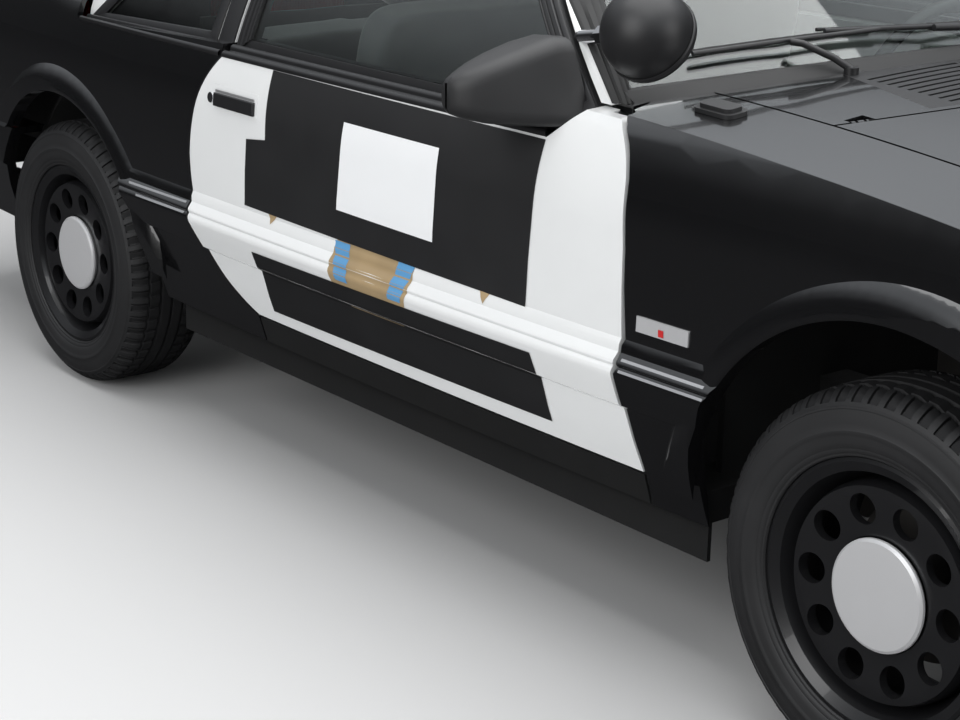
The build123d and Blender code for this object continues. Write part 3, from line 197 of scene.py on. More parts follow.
@dataclass(frozen=True)
class Finish:
    """Everything that tells one surface from another.

    Args:
        colour: linear base colour.
        rough: mean roughness.
        metal: metallic share.
        coat: clear coat weight.
        grain: bump distance in metres, 0 for none.
        grain_size: size of the bump's noise in metres.
        mottle: how far the colour varies, as a share.
        rough_spread: how far roughness varies.
        transmission: share of light let through.
        stretch: how much longer the noise is along each axis.
        sheen: fabric sheen weight.
        ribs: spacing of upright flutes in metres, 0 for none.
    """

    colour: tuple[float, float, float]
    rough: float = 0.5
    metal: float = 0.0
    coat: float = 0.0
    grain: float = 0.0
    grain_size: float = 0.004
    mottle: float = 0.0
    rough_spread: float = 0.0
    transmission: float = 0.0
    stretch: tuple[float, float, float] = (1.0, 1.0, 1.0)
    sheen: float = 0.0
    ribs: float = 0.0


FINISHES: dict[str, Finish] = {
    "black_paint": Finish((0.004, 0.004, 0.0045), 0.22, coat=1.0, grain=0.00004, grain_size=0.01,
                          rough_spread=0.06),
    "white_paint": Finish((0.78, 0.79, 0.79), 0.3, coat=0.8, grain=0.00004, grain_size=0.01, mottle=0.02),
    "cover": Finish((0.012, 0.012, 0.013), 0.62, grain=0.00008, grain_size=0.002, rough_spread=0.1,
                    mottle=0.2),
    "sign": Finish((0.82, 0.83, 0.84), 0.5, grain=0.00003, grain_size=0.003, mottle=0.02),
    "trim": Finish((0.014, 0.014, 0.015), 0.42, grain=0.00006, grain_size=0.0012, rough_spread=0.12,
                   mottle=0.2),
    "grained": Finish((0.02, 0.02, 0.021), 0.5, grain=0.00012, grain_size=0.0015, rough_spread=0.1,
                      mottle=0.2),
    "seal": Finish((0.012, 0.012, 0.012), 0.65, grain=0.00006, grain_size=0.002, mottle=0.25),
    "tyre": Finish((0.016, 0.016, 0.017), 0.62, grain=0.00010, grain_size=0.0012, rough_spread=0.15,
                   mottle=0.35),
    "wheel": Finish((0.010, 0.010, 0.011), 0.3, coat=0.35, grain=0.00003, grain_size=0.003, rough_spread=0.1),
    "cap": Finish((0.62, 0.62, 0.63), 0.38, metal=0.35, grain=0.00002, grain_size=0.0008, rough_spread=0.12,
                  stretch=(6.0, 1.0, 0.3)),
    "chrome": Finish((0.8, 0.8, 0.82), 0.08, metal=1.0, rough_spread=0.04),
    "lens": Finish((0.9, 0.92, 0.93), 0.06, transmission=0.6, rough_spread=0.03, ribs=0.012),
    "amber": Finish((0.85, 0.25, 0.02), 0.12, transmission=0.3, coat=0.5, rough_spread=0.03, ribs=0.008),
    "red": Finish((0.4, 0.008, 0.01), 0.15, transmission=0.15, coat=0.6, rough_spread=0.03, ribs=0.010),
    # painted shade: near black for the floor pan, so the strip below the sill reads as shadow
    "shade": Finish((0.006, 0.006, 0.006), 0.85, grain=0.0003, grain_size=0.006, mottle=0.3),
    "glass": Finish((0.78, 0.84, 0.81), 0.0, transmission=1.0),
    "underbody": Finish((0.03, 0.03, 0.03), 0.7, grain=0.0003, grain_size=0.006, mottle=0.3),
    "iron": Finish((0.09, 0.085, 0.08), 0.6, metal=0.6, grain=0.0003, grain_size=0.004, mottle=0.3),
    "pipe": Finish((0.33, 0.31, 0.29), 0.45, metal=1.0, grain=0.0002, grain_size=0.02, mottle=0.3),
    "dash": Finish((0.05, 0.05, 0.055), 0.6, grain=0.0003, grain_size=0.003, mottle=0.15),
    "cloth": Finish((0.09, 0.09, 0.095), 0.9, grain=0.0006, grain_size=0.002, mottle=0.35, sheen=0.4),
    "tan": Finish((0.36, 0.26, 0.14), 0.4, grain=0.00005, grain_size=0.002, mottle=0.3),
    "blue": Finish((0.10, 0.30, 0.55), 0.4, grain=0.00005, grain_size=0.002, mottle=0.1),
    "bar": Finish((0.55, 0.55, 0.56), 0.3, metal=0.3, rough_spread=0.08),
    "bar_red": Finish((0.55, 0.02, 0.02), 0.3, coat=0.5, rough_spread=0.05),
    # painted highlight: flat grey that stands in for the bright highlights on the moulding ridges and along
    # the top of the door handle's paddle
    "line": Finish((0.42, 0.42, 0.43), 0.3, metal=0.6, rough_spread=0.1),
}


# Roughness of every clear coat, and the numbers of the noise and flutes behind the finishes
COAT_ROUGHNESS = 0.03
FINE_DETAIL = 3.0
BROAD_DETAIL = 5.0
BROAD_SCALE = 9.0
WAVE_SCALE = 0.314
FLUTE_DEPTH = 0.12


class Paintbox:
    """Builds each finish once and hands it out."""

    def __init__(self) -> None:
        """Start with nothing made."""
        self._made: dict[str, bpy.types.Material] = {}

    def get(self, name: str) -> bpy.types.Material:
        """Material for a named finish.

        Args:
            name: key in FINISHES.

        Returns:
            The node material.
        """
        if name not in self._made:
            self._made[name] = self._build(name, FINISHES[name])
        return self._made[name]

    def _build(self, name: str, finish: Finish) -> bpy.types.Material:
        """New material for a finish.

        Args:
            name: name of the finish.
            finish: its values.

        Returns:
            The node material.
        """
        material = bpy.data.materials.new(f"finish_{name}")
        material.use_nodes = True
        tree = material.node_tree
        shader = tree.nodes["Principled BSDF"]
        values = {
            "Base Color": (*finish.colour, 1.0), "Roughness": finish.rough, "Metallic": finish.metal,
            "Coat Weight": finish.coat, "Coat Roughness": COAT_ROUGHNESS,
            "Transmission Weight": finish.transmission, "Sheen Weight": finish.sheen,
        }
        for socket, value in values.items():
            shader.inputs[socket].default_value = value
        if finish.grain or finish.mottle or finish.rough_spread or finish.ribs:
            self._vary(Board(tree), shader, finish)
        return material

    @staticmethod
    def _vary(board: Board, shader: bpy.types.Node, finish: Finish) -> None:
        """Add the bump, flutes and slow changes of a finish to its shader.

        Args:
            board: the material's node tree.
            shader: its shader.
            finish: the values.
        """
        place = board.node("ShaderNodeTexCoord")
        mapping = board.node("ShaderNodeMapping", sockets={
            "Vector": place.outputs["Object"], "Scale": finish.stretch})
        vector = mapping.outputs["Vector"]
        normal = shader.inputs["Normal"]
        if finish.grain:
            fine = board.node("ShaderNodeTexNoise", sockets={
                "Vector": vector, "Scale": 1.0 / finish.grain_size, "Detail": FINE_DETAIL})
            bump = board.node("ShaderNodeBump", sockets={
                "Distance": finish.grain, "Height": fine.outputs["Fac"]})
            board.wire(bump.outputs["Normal"]).to(normal)
        if finish.ribs:
            wave = board.node("ShaderNodeTexWave", {"bands_direction": "Y"}, {
                "Vector": vector, "Scale": WAVE_SCALE / finish.ribs})
            flutes = board.node("ShaderNodeBump", sockets={
                "Distance": finish.ribs * FLUTE_DEPTH, "Height": wave.outputs["Fac"]})
            board.wire(flutes.outputs["Normal"]).to(normal)
        broad = board.node("ShaderNodeTexNoise", sockets={
            "Vector": vector, "Scale": BROAD_SCALE, "Detail": BROAD_DETAIL})
        spread = board.wire(broad.outputs["Fac"])
        if finish.rough_spread:
            ((spread - 0.5) * finish.rough_spread + finish.rough).to(shader.inputs["Roughness"])
        if finish.mottle:
            dark = [c * (1 - finish.mottle) for c in finish.colour]
            light = [min(1.0, c * (1 + finish.mottle)) for c in finish.colour]
            mix = board.node("ShaderNodeMix", {"data_type": "RGBA"}, {
                "A": (*dark, 1.0), "B": (*light, 1.0), "Factor": spread})
            board.wire(mix.outputs["Result"]).to(shader.inputs["Base Color"])


# Mesh helpers

# Angles in degrees over which an edge stays sharp, and the weight of a skin's normals
TUBE_EDGE = 50.0
BAND_EDGE = 40.0
PLATE_EDGE = 60.0
SKIN_EDGE = 28.0
TREAD_EDGE = 35.0
CAP_EDGE = 25.0
NORMAL_WEIGHT = 80
MERGE = 0.00002


def new_object(name: str, mesh: bpy.types.Mesh) -> bpy.types.Object:
    """Put a mesh into the scene as an object."""
    obj = bpy.data.objects.new(name, mesh)
    bpy.context.scene.collection.objects.link(obj)
    return obj


def from_pydata(
    name: str, points: Iterable[Sequence[float]], faces: Iterable[Sequence[int]]
) -> bpy.types.Object:
    """Object from vertices and faces, shaded smooth.

    Args:
        name: piece name.
        points: places of the vertices in metres.
        faces: vertex numbers of each face.

    Returns:
        The object.
    """
    mesh = bpy.data.meshes.new(name)
    mesh.from_pydata([tuple(p) for p in points], [], [tuple(f) for f in faces])
    mesh.update()
    mesh.polygons.foreach_set("use_smooth", [True] * len(mesh.polygons))
    return new_object(name, mesh)


def sharpen(mesh: bpy.types.Mesh, degrees: float, merge: float = MERGE) -> None:
    """Merge loose points, then shade smooth with sharp edges over an angle.

    Args:
        mesh: mesh to change.
        degrees: smallest angle of an edge that stays sharp.
        merge: distance under which points are merged, in metres.
    """
    work = bmesh.new()
    work.from_mesh(mesh)
    bmesh.ops.remove_doubles(work, verts=work.verts, dist=merge)
    limit = math.radians(degrees)
    for face in work.faces:
        face.smooth = True
    for edge in work.edges:
        edge.smooth = len(edge.link_faces) == 2 and edge.calc_face_angle(0.0) < limit
    work.to_mesh(mesh)
    work.free()


def modifier(obj: bpy.types.Object, kind: str, **values: object) -> bpy.types.Modifier:
    """Add a modifier and set its values.

    Args:
        obj: object that gets it.
        kind: type of the modifier.
        values: its settings by name.

    Returns:
        The modifier.
    """
    made = obj.modifiers.new(kind.lower(), kind)
    for key, value in values.items():
        setattr(made, key, value)
    return made


def grid(name: str, rows: Sequence[Sequence[Sequence[float]]], closed: bool = False) -> bpy.types.Object:
    """Object from rows of points.

    Args:
        name: piece name.
        rows: rows of points, all of one length.
        closed: whether the last row joins the first.

    Returns:
        The object.
    """
    width = len(rows[0])
    points = [p for row in rows for p in row]
    faces = []
    count = len(rows) if closed else len(rows) - 1
    for i in range(count):
        j = (i + 1) % len(rows)
        for k in range(width - 1):
            faces.append((i * width + k, i * width + k + 1, j * width + k + 1, j * width + k))
    return from_pydata(name, points, faces)


def tube(name: str, path: Sequence[Sequence[float]], radius: float, sides: int = 12) -> bpy.types.Object:
    """Round bar along a path, with closed ends.

    Args:
        name: piece name.
        path: places along its middle.
        radius: radius in metres.
        sides: facets round it.

    Returns:
        The object.
    """
    points: list[Vector] = []
    faces: list[tuple[int, ...]] = []
    line = [Vector(p) for p in path]
    for i, here in enumerate(line):
        before = line[max(i - 1, 0)]
        after = line[min(i + 1, len(line) - 1)]
        along = (after - before).normalized()
        across = along.cross(Vector((0.13, 0.21, 1.0))).normalized()
        other = along.cross(across)
        for k in range(sides):
            turn = 2 * math.pi * k / sides
            points.append(here + radius * (across * math.cos(turn) + other * math.sin(turn)))
    for i in range(len(line) - 1):
        for k in range(sides):
            m = (k + 1) % sides
            faces.append((i * sides + k, i * sides + m, (i + 1) * sides + m, (i + 1) * sides + k))
    faces.append(tuple(reversed(range(sides))))
    faces.append(tuple(range((len(line) - 1) * sides, len(line) * sides)))
    obj = from_pydata(name, points, faces)
    sharpen(obj.data, TUBE_EDGE)
    return obj


# Surface of the body side, from the same numbers as the solids


@dataclass(frozen=True)
class Flank:
    """A bowed side of the car, as a length and height to a place on it.

    Args:
        table: offsets from the greatest half width by height, straight between rows.
        arcs: arcs of three such points each, above the table.
        bow: radius of the bow along the car.
        widest: greatest half width.
    """

    table: Line
    arcs: Sequence[Line]
    bow: float = 30.0
    widest: float = 0.857

    @staticmethod
    def _on_arc(arc: Line, z: float) -> float:
        """Offset at a height on the arc through three points.

        Args:
            arc: three points of offset and height.
            z: height.

        Returns:
            Offset from the widest place.
        """
        (x1, z1), (x2, z2), (x3, z3) = arc
        area = 2 * (x1 * (z2 - z3) + x2 * (z3 - z1) + x3 * (z1 - z2))
        s1, s2, s3 = x1 * x1 + z1 * z1, x2 * x2 + z2 * z2, x3 * x3 + z3 * z3
        cx = (s1 * (z2 - z3) + s2 * (z3 - z1) + s3 * (z1 - z2)) / area
        cz = (s1 * (x3 - x2) + s2 * (x1 - x3) + s3 * (x2 - x1)) / area
        radius = math.hypot(x1 - cx, z1 - cz)
        return cx + math.sqrt(max(radius**2 - (z - cz) ** 2, 0.0))

    def half(self, z: float) -> float:
        """Half width at the middle of the car, at a height.

        Args:
            z: height.

        Returns:
            The half width in metres.
        """
        for (a, low), (b, high) in zip(self.table, self.table[1:]):
            if z <= high:
                share = max(0.0, (z - low) / (high - low))
                return self.widest + a + (b - a) * share
        for arc in self.arcs:
            if z <= arc[2][1]:
                return self.widest + self._on_arc(arc, z)
        return self.widest + self.arcs[-1][2][0]

    def at(self, x: float, z: float, out: float = 0.0, side: int = RIGHT) -> Point:
        """A place on the skin.

        Args:
            x: place along the car.
            z: height.
            out: how far outside the skin.
            side: RIGHT or LEFT.

        Returns:
            The point in metres.
        """
        centre = self.bow - self.widest
        reach = centre + self.half(z) + out
        y = centre - math.sqrt(reach * reach - x * x)
        return (x, y if side == RIGHT else -y, z)


SIDE = Flank(
    (
        (-0.072, 0.200), (-0.069, 0.303), (-0.049, 0.365), (-0.027, 0.430), (-0.012, 0.486), (-0.001, 0.493),
        (0.009, 0.520), (0.018, 0.545), (0.019, 0.552), (0.017, 0.558), (0.0125, 0.563), (0.0145, 0.568),
        (0.013, 0.573), (0.002, 0.585), (0.0005, 0.597), (-0.005, 0.607), (-0.001, 0.690), (0.0, 0.790),
    ),
    (((0.0, 0.790), (-0.009, 0.878), (-0.028, 0.942)), ((-0.028, 0.942), (-0.043, 0.961), (-0.066, 0.977))),
)
CABIN = Flank((), (((-0.055, 0.930), (-0.139, 1.108), (-0.257, 1.265)),))


@dataclass(frozen=True)
class Screen:
    """A leaning curved screen, as a place across the car and a height to a point on it.

    Args:
        x: length of a point on its middle line.
        z: height of that point.
        lift: how far its normal points up, in degrees.
        radius: radius across.
        facing: 1 forwards, -1 rearwards.
    """

    x: float
    z: float
    lift: float
    radius: float
    facing: int

    def at(self, y: float, z: float, out: float = 0.0, side: int = RIGHT) -> Point:
        """A place on the glass.

        Args:
            y: distance from the middle.
            z: height.
            out: how far outside the glass.
            side: RIGHT or LEFT.

        Returns:
            The point in metres.
        """
        normal_x = self.facing * math.cos(math.radians(self.lift))
        normal_z = math.sin(math.radians(self.lift))
        drop = math.sqrt(self.radius**2 - y * y) - self.radius + out
        along = (z - self.z - normal_z * drop) / abs(normal_x)
        return (self.x + normal_x * drop - self.facing * normal_z * along, side * y, z)


WINDSHIELD = Screen(0.860, 1.010, 59.0, 2.7, 1)
Surface = Flank | Screen


def lerp(a: float, b: float, share: float) -> float:
    """Part of the way from a to b.

    Args:
        a: start.
        b: end.
        share: 0 at the start, 1 at the end.

    Returns:
        The value.
    """
    return a + (b - a) * share


def dense(lines: Sequence[Line], closed: bool, step: float) -> list[list[tuple[float, float]]]:
    """Put points between the corners of lines that run side by side, alike on each.

    Args:
        lines: lines with as many corners each.
        closed: whether they are loops.
        step: greatest spacing of the points, in metres.

    Returns:
        The points of each line.
    """
    made: list[list[tuple[float, float]]] = [[] for _ in lines]
    count = len(lines[0]) if closed else len(lines[0]) - 1
    for i in range(count):
        ends = [(line[i], line[(i + 1) % len(line)]) for line in lines]
        length = max(math.dist(a, b) for a, b in ends)
        parts = max(1, round(length / step))
        for k in range(parts):
            for row, (a, b) in zip(made, ends):
                row.append((lerp(a[0], b[0], k / parts), lerp(a[1], b[1], k / parts)))
    if not closed:
        for row, line in zip(made, lines):
            row.append(line[-1])
    return made


def inside(line: Line, distance: float) -> list[tuple[float, float]]:
    """A closed outline moved inwards, with mitred corners.

    Args:
        line: corners in order.
        distance: how far inwards, negative for outwards.

    Returns:
        The moved corners.
    """
    area = sum(a[0] * b[1] - b[0] * a[1] for a, b in zip(line, [*line[1:], line[0]]))
    turn = 1.0 if area > 0 else -1.0
    moved = []
    for i, here in enumerate(line):
        before = Vector(line[i - 1])
        after = Vector(line[(i + 1) % len(line)])
        first = (Vector(here) - before).normalized()
        second = (after - Vector(here)).normalized()
        normal = Vector((-first.y - second.y, first.x + second.x)).normalized() * turn
        square = Vector((-first.y, first.x)) * turn
        moved.append(tuple(Vector(here) + normal * distance / max(0.3, normal.dot(square))))
    return moved


def band(name: str, surface: Surface, first: Line, second: Line, profile: Profile, side: int,
         closed: bool = False, step: float = 0.03) -> bpy.types.Object:
    """Raised band between two lines on a surface.

    Args:
        name: piece name.
        surface: what the lines lie on.
        first: one edge, in the surface's own two values.
        second: the other edge, with as many corners.
        profile: share from first to second, and how far out, for each line of points along the band.
        side: RIGHT or LEFT.
        closed: whether the band is a loop.
        step: spacing of the points along it.

    Returns:
        The object, not yet painted.
    """
    edge_a, edge_b = dense((first, second), closed, step)
    rows = []
    for a, b in zip(edge_a, edge_b):
        rows.append([
            surface.at(lerp(a[0], b[0], share), lerp(a[1], b[1], share), out, side) for share, out in profile
        ])
    obj = grid(name, rows, closed)
    sharpen(obj.data, BAND_EDGE)
    return obj


@dataclass
class Dresser:
    """Shared means of the classes that dress the car.

    Args:
        paint: the materials.
    """

    frame: dict
    paint: Paintbox

    def build(self) -> None:
        """Make every piece of the sub-assembly."""
        raise NotImplementedError

    def finish(self, obj: bpy.types.Object, paint: str, body: Body, *replaced: str) -> bpy.types.Object:
        """Paint an object and let it ride on a body.

        Args:
            obj: the piece.
            paint: key in FINISHES.
            body: the body that it rides on.
            replaced: CAD nodes that it stands for.

        Returns:
            The same object.
        """
        obj.data.materials.clear()
        obj.data.materials.append(self.paint.get(paint))
        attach(obj, body.value)
        if replaced:
            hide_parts(*replaced)
        LOG.info("%s on %s in %s", obj.name, body.value, paint)
        return obj

    def skin(self, node: str, paint: str, body: Body, degrees: float = SKIN_EDGE) -> bpy.types.Object:
        """Smoothly shaded copy of a CAD node that stands for it.

        Args:
            node: name of the CAD node.
            paint: key in FINISHES.
            body: the body that it rides on.
            degrees: smallest angle of an edge that stays sharp.

        Returns:
            The piece.
        """
        mesh = self.frame["nodes"][node].data.copy()
        obj = new_object(f"{node}_skin", mesh)
        sharpen(mesh, degrees)
        modifier(obj, "WEIGHTED_NORMAL", keep_sharp=True, weight=NORMAL_WEIGHT)
        return self.finish(obj, paint, body, node)

    def plate(self, name: str, outline: Line, out: float, side: int, step: float = 0.02) -> bpy.types.Object:
        """Thin sheet that follows the body side inside an outline.

        Args:
            name: piece name.
            outline: corners as X and Z.
            out: how far outside the skin.
            side: RIGHT or LEFT.
            step: spacing of the cuts that let it bend.

        Returns:
            The object, not yet painted.
        """
        flat = bmesh.new()
        corners = [flat.verts.new((x, 0, z)) for x, z in outline]
        flat.faces.new(corners)
        xs = [x for x, _ in outline]
        zs = [z for _, z in outline]
        self._slice(flat, min(xs), max(xs), Vector((1, 0, 0)), step)
        self._slice(flat, min(zs), max(zs), Vector((0, 0, 1)), step / 4)
        for vert in flat.verts:
            vert.co = SIDE.at(vert.co.x, vert.co.z, out, side)
        bmesh.ops.recalc_face_normals(flat, faces=flat.faces)
        mesh = bpy.data.meshes.new(name)
        flat.to_mesh(mesh)
        flat.free()
        obj = new_object(name, mesh)
        sharpen(mesh, PLATE_EDGE)
        facing = sum((p.normal.y * p.area for p in mesh.polygons), 0.0) * side
        if facing < 0:
            mesh.flip_normals()
        return obj

    @staticmethod
    def _slice(flat: bmesh.types.BMesh, low: float, high: float, normal: Vector, step: float) -> None:
        """Cut a flat sheet across at even steps, so that it can bend.

        Args:
            flat: the sheet.
            low: where it begins along the normal.
            high: where it ends.
            normal: direction in which the cuts follow each other.
            step: distance between them.
        """
        place = low + step
        while place < high - step / 3:
            parts = list(flat.verts) + list(flat.edges) + list(flat.faces)
            bmesh.ops.bisect_plane(flat, geom=parts, plane_co=normal * place, plane_no=normal)
            place += step


# Panels of the body

PANELS: tuple[tuple[str, str, Body], ...] = (
    ("roof", "white_paint", Body.ROOT),
    ("hood", "black_paint", Body.HOOD),
    ("trunk_lid", "black_paint", Body.TRUNK),
    ("cowl_panel", "black_paint", Body.ROOT),
    ("deck_panel", "black_paint", Body.ROOT),
    ("header_panel", "black_paint", Body.ROOT),
    ("front_bumper", "black_paint", Body.ROOT),
    ("rear_bumper", "black_paint", Body.ROOT),
    ("tail_panel", "black_paint", Body.ROOT),
    ("fender_right", "black_paint", Body.ROOT),
    ("fender_left", "black_paint", Body.ROOT),
    ("quarter_panel_right", "black_paint", Body.ROOT),
    ("quarter_panel_left", "black_paint", Body.ROOT),
    ("door_shell_right", "white_paint", Body.DOOR_RIGHT),
    ("door_shell_left", "white_paint", Body.DOOR_LEFT),
    ("door_frame_right", "trim", Body.DOOR_RIGHT),
    ("door_frame_left", "trim", Body.DOOR_LEFT),
    ("cowl_grille", "trim", Body.ROOT),
    ("grille", "trim", Body.ROOT),
    # floor pan in painted shade, darker than the underbody, standing for the shadow under the sill
    ("floor_pan", "shade", Body.ROOT),
    ("rear_tub", "underbody", Body.ROOT),
    ("dashboard", "dash", Body.ROOT),
    ("steering_wheel", "grained", Body.STEERING),
    ("headlamps", "lens", Body.ROOT),
    ("marker_lamps", "amber", Body.ROOT),
    ("tail_lamps", "red", Body.ROOT),
    ("windshield", "glass", Body.ROOT),
    ("rear_window", "glass", Body.ROOT),
    ("quarter_glass", "glass", Body.ROOT),
    ("door_glass_right", "glass", Body.DOOR_RIGHT),
    ("door_glass_left", "glass", Body.DOOR_LEFT),
)

RECOLOURED: dict[str, str] = {
    "firewall": "underbody",
    "control_arms": "underbody",
    "fuel_tank": "underbody",
    "engine_block": "iron",
    "driveline": "iron",
    "rear_axle": "iron",
    "knuckle_right": "iron",
    "knuckle_left": "iron",
    "exhaust": "pipe",
    "antenna_base": "grained",
}


@dataclass
class Panels(Dresser):
    """Body panels, glass and lamps."""

    def build(self) -> None:
        """Make every skin and repaint the rest."""
        for node, paint, body in PANELS:
            self.skin(node, paint, body)
        for node, paint in RECOLOURED.items():
            obj = self.frame["nodes"][node]
            obj.data.materials.clear()
            obj.data.materials.append(self.paint.get(paint))


# Wheels


class RingNodes:
    """Geometry Nodes tree that repeats a segment round the Y axis."""

    MERGE = 0.00005

    def __init__(self) -> None:
        """Build the tree, with the number of copies, the merging distance and the material as its inputs."""
        tree = bpy.data.node_groups.new("ring_of_segments", "GeometryNodeTree")
        self.tree = tree
        tree.interface.new_socket("Geometry", in_out="OUTPUT", socket_type="NodeSocketGeometry")
        self._input("Segment", "Geometry")
        self.count = self._input("Copies", "Int")
        self.merge = self._input("Merge Distance", "Float")
        self.material = self._input("Material", "Material")
        board = Board(tree)
        start = board.node("NodeGroupInput")
        copies = start.outputs["Copies"]
        line = board.node("GeometryNodeMeshLine", sockets={"Count": copies, "Offset": (0.0, 0.0, 0.0)})
        index = board.wire(board.node("GeometryNodeInputIndex").outputs[0])
        share = board.node("ShaderNodeMath", {"operation": "DIVIDE"}, {0: 2 * math.pi, 1: copies})
        turn = index * board.wire(share.outputs[0])
        euler = board.node("ShaderNodeCombineXYZ", sockets={"Y": turn})
        rotation = board.node("FunctionNodeEulerToRotation", sockets={0: euler.outputs[0]})
        place = board.node("GeometryNodeInstanceOnPoints", sockets={
            "Points": line.outputs["Mesh"], "Instance": start.outputs["Segment"],
            "Rotation": rotation.outputs[0]})
        merge = board.node("GeometryNodeMergeByDistance", sockets={
            "Geometry": board.node("GeometryNodeRealizeInstances", sockets={0: place.outputs[0]}).outputs[0],
            "Distance": start.outputs["Merge Distance"]})
        coat = board.node("GeometryNodeSetMaterial", sockets={
            "Geometry": merge.outputs[0], "Material": start.outputs["Material"]})
        board.node("NodeGroupOutput", sockets={0: coat.outputs[0]})

    def _input(self, name: str, kind: str) -> str:
        """Add a named input to the tree.

        Args:
            name: name of the input.
            kind: its socket type, such as Float.

        Returns:
            The identifier.
        """
        socket = self.tree.interface.new_socket(name, in_out="INPUT", socket_type=f"NodeSocket{kind}")
        return socket.identifier

    def repeat(self, obj: bpy.types.Object, copies: int, material: bpy.types.Material) -> None:
        """Turn a segment into the whole ring, as a plain mesh.

        Args:
            obj: object that holds one segment.
            copies: how many segments go round.
            material: material of the ring.
        """
        made = modifier(obj, "NODES")
        made.node_group = self.tree
        made[self.count] = copies
        made[self.merge] = self.MERGE
        made[self.material] = material
        view = bpy.context.evaluated_depsgraph_get()
        mesh = bpy.data.meshes.new_from_object(obj.evaluated_get(view))
        obj.modifiers.remove(made)
        obj.data = mesh


@dataclass(frozen=True)
class Corner:
    """One wheel of the car.

    Args:
        x: place of its axle.
        side: RIGHT or LEFT.
        body: the body that it is.
    """

    x: float
    side: int
    body: Body

    @property
    def tag(self) -> str:
        """Such as front_right."""
        return self.body.value.removeprefix("wheel_")

    @property
    def place(self) -> Matrix:
        """Move to the centre of the wheel."""
        return Matrix.Translation((self.x, self.side * TRACK_HALF, WHEEL_RADIUS))


FRONT_AXLE = 1.347
REAR_AXLE = -1.206
TRACK_HALF = 0.706
WHEEL_RADIUS = 0.322
CORNERS = (
    Corner(FRONT_AXLE, RIGHT, Body.WHEEL_FRONT_RIGHT),
    Corner(FRONT_AXLE, LEFT, Body.WHEEL_FRONT_LEFT),
    Corner(REAR_AXLE, RIGHT, Body.WHEEL_REAR_RIGHT),
    Corner(REAR_AXLE, LEFT, Body.WHEEL_REAR_LEFT),
)


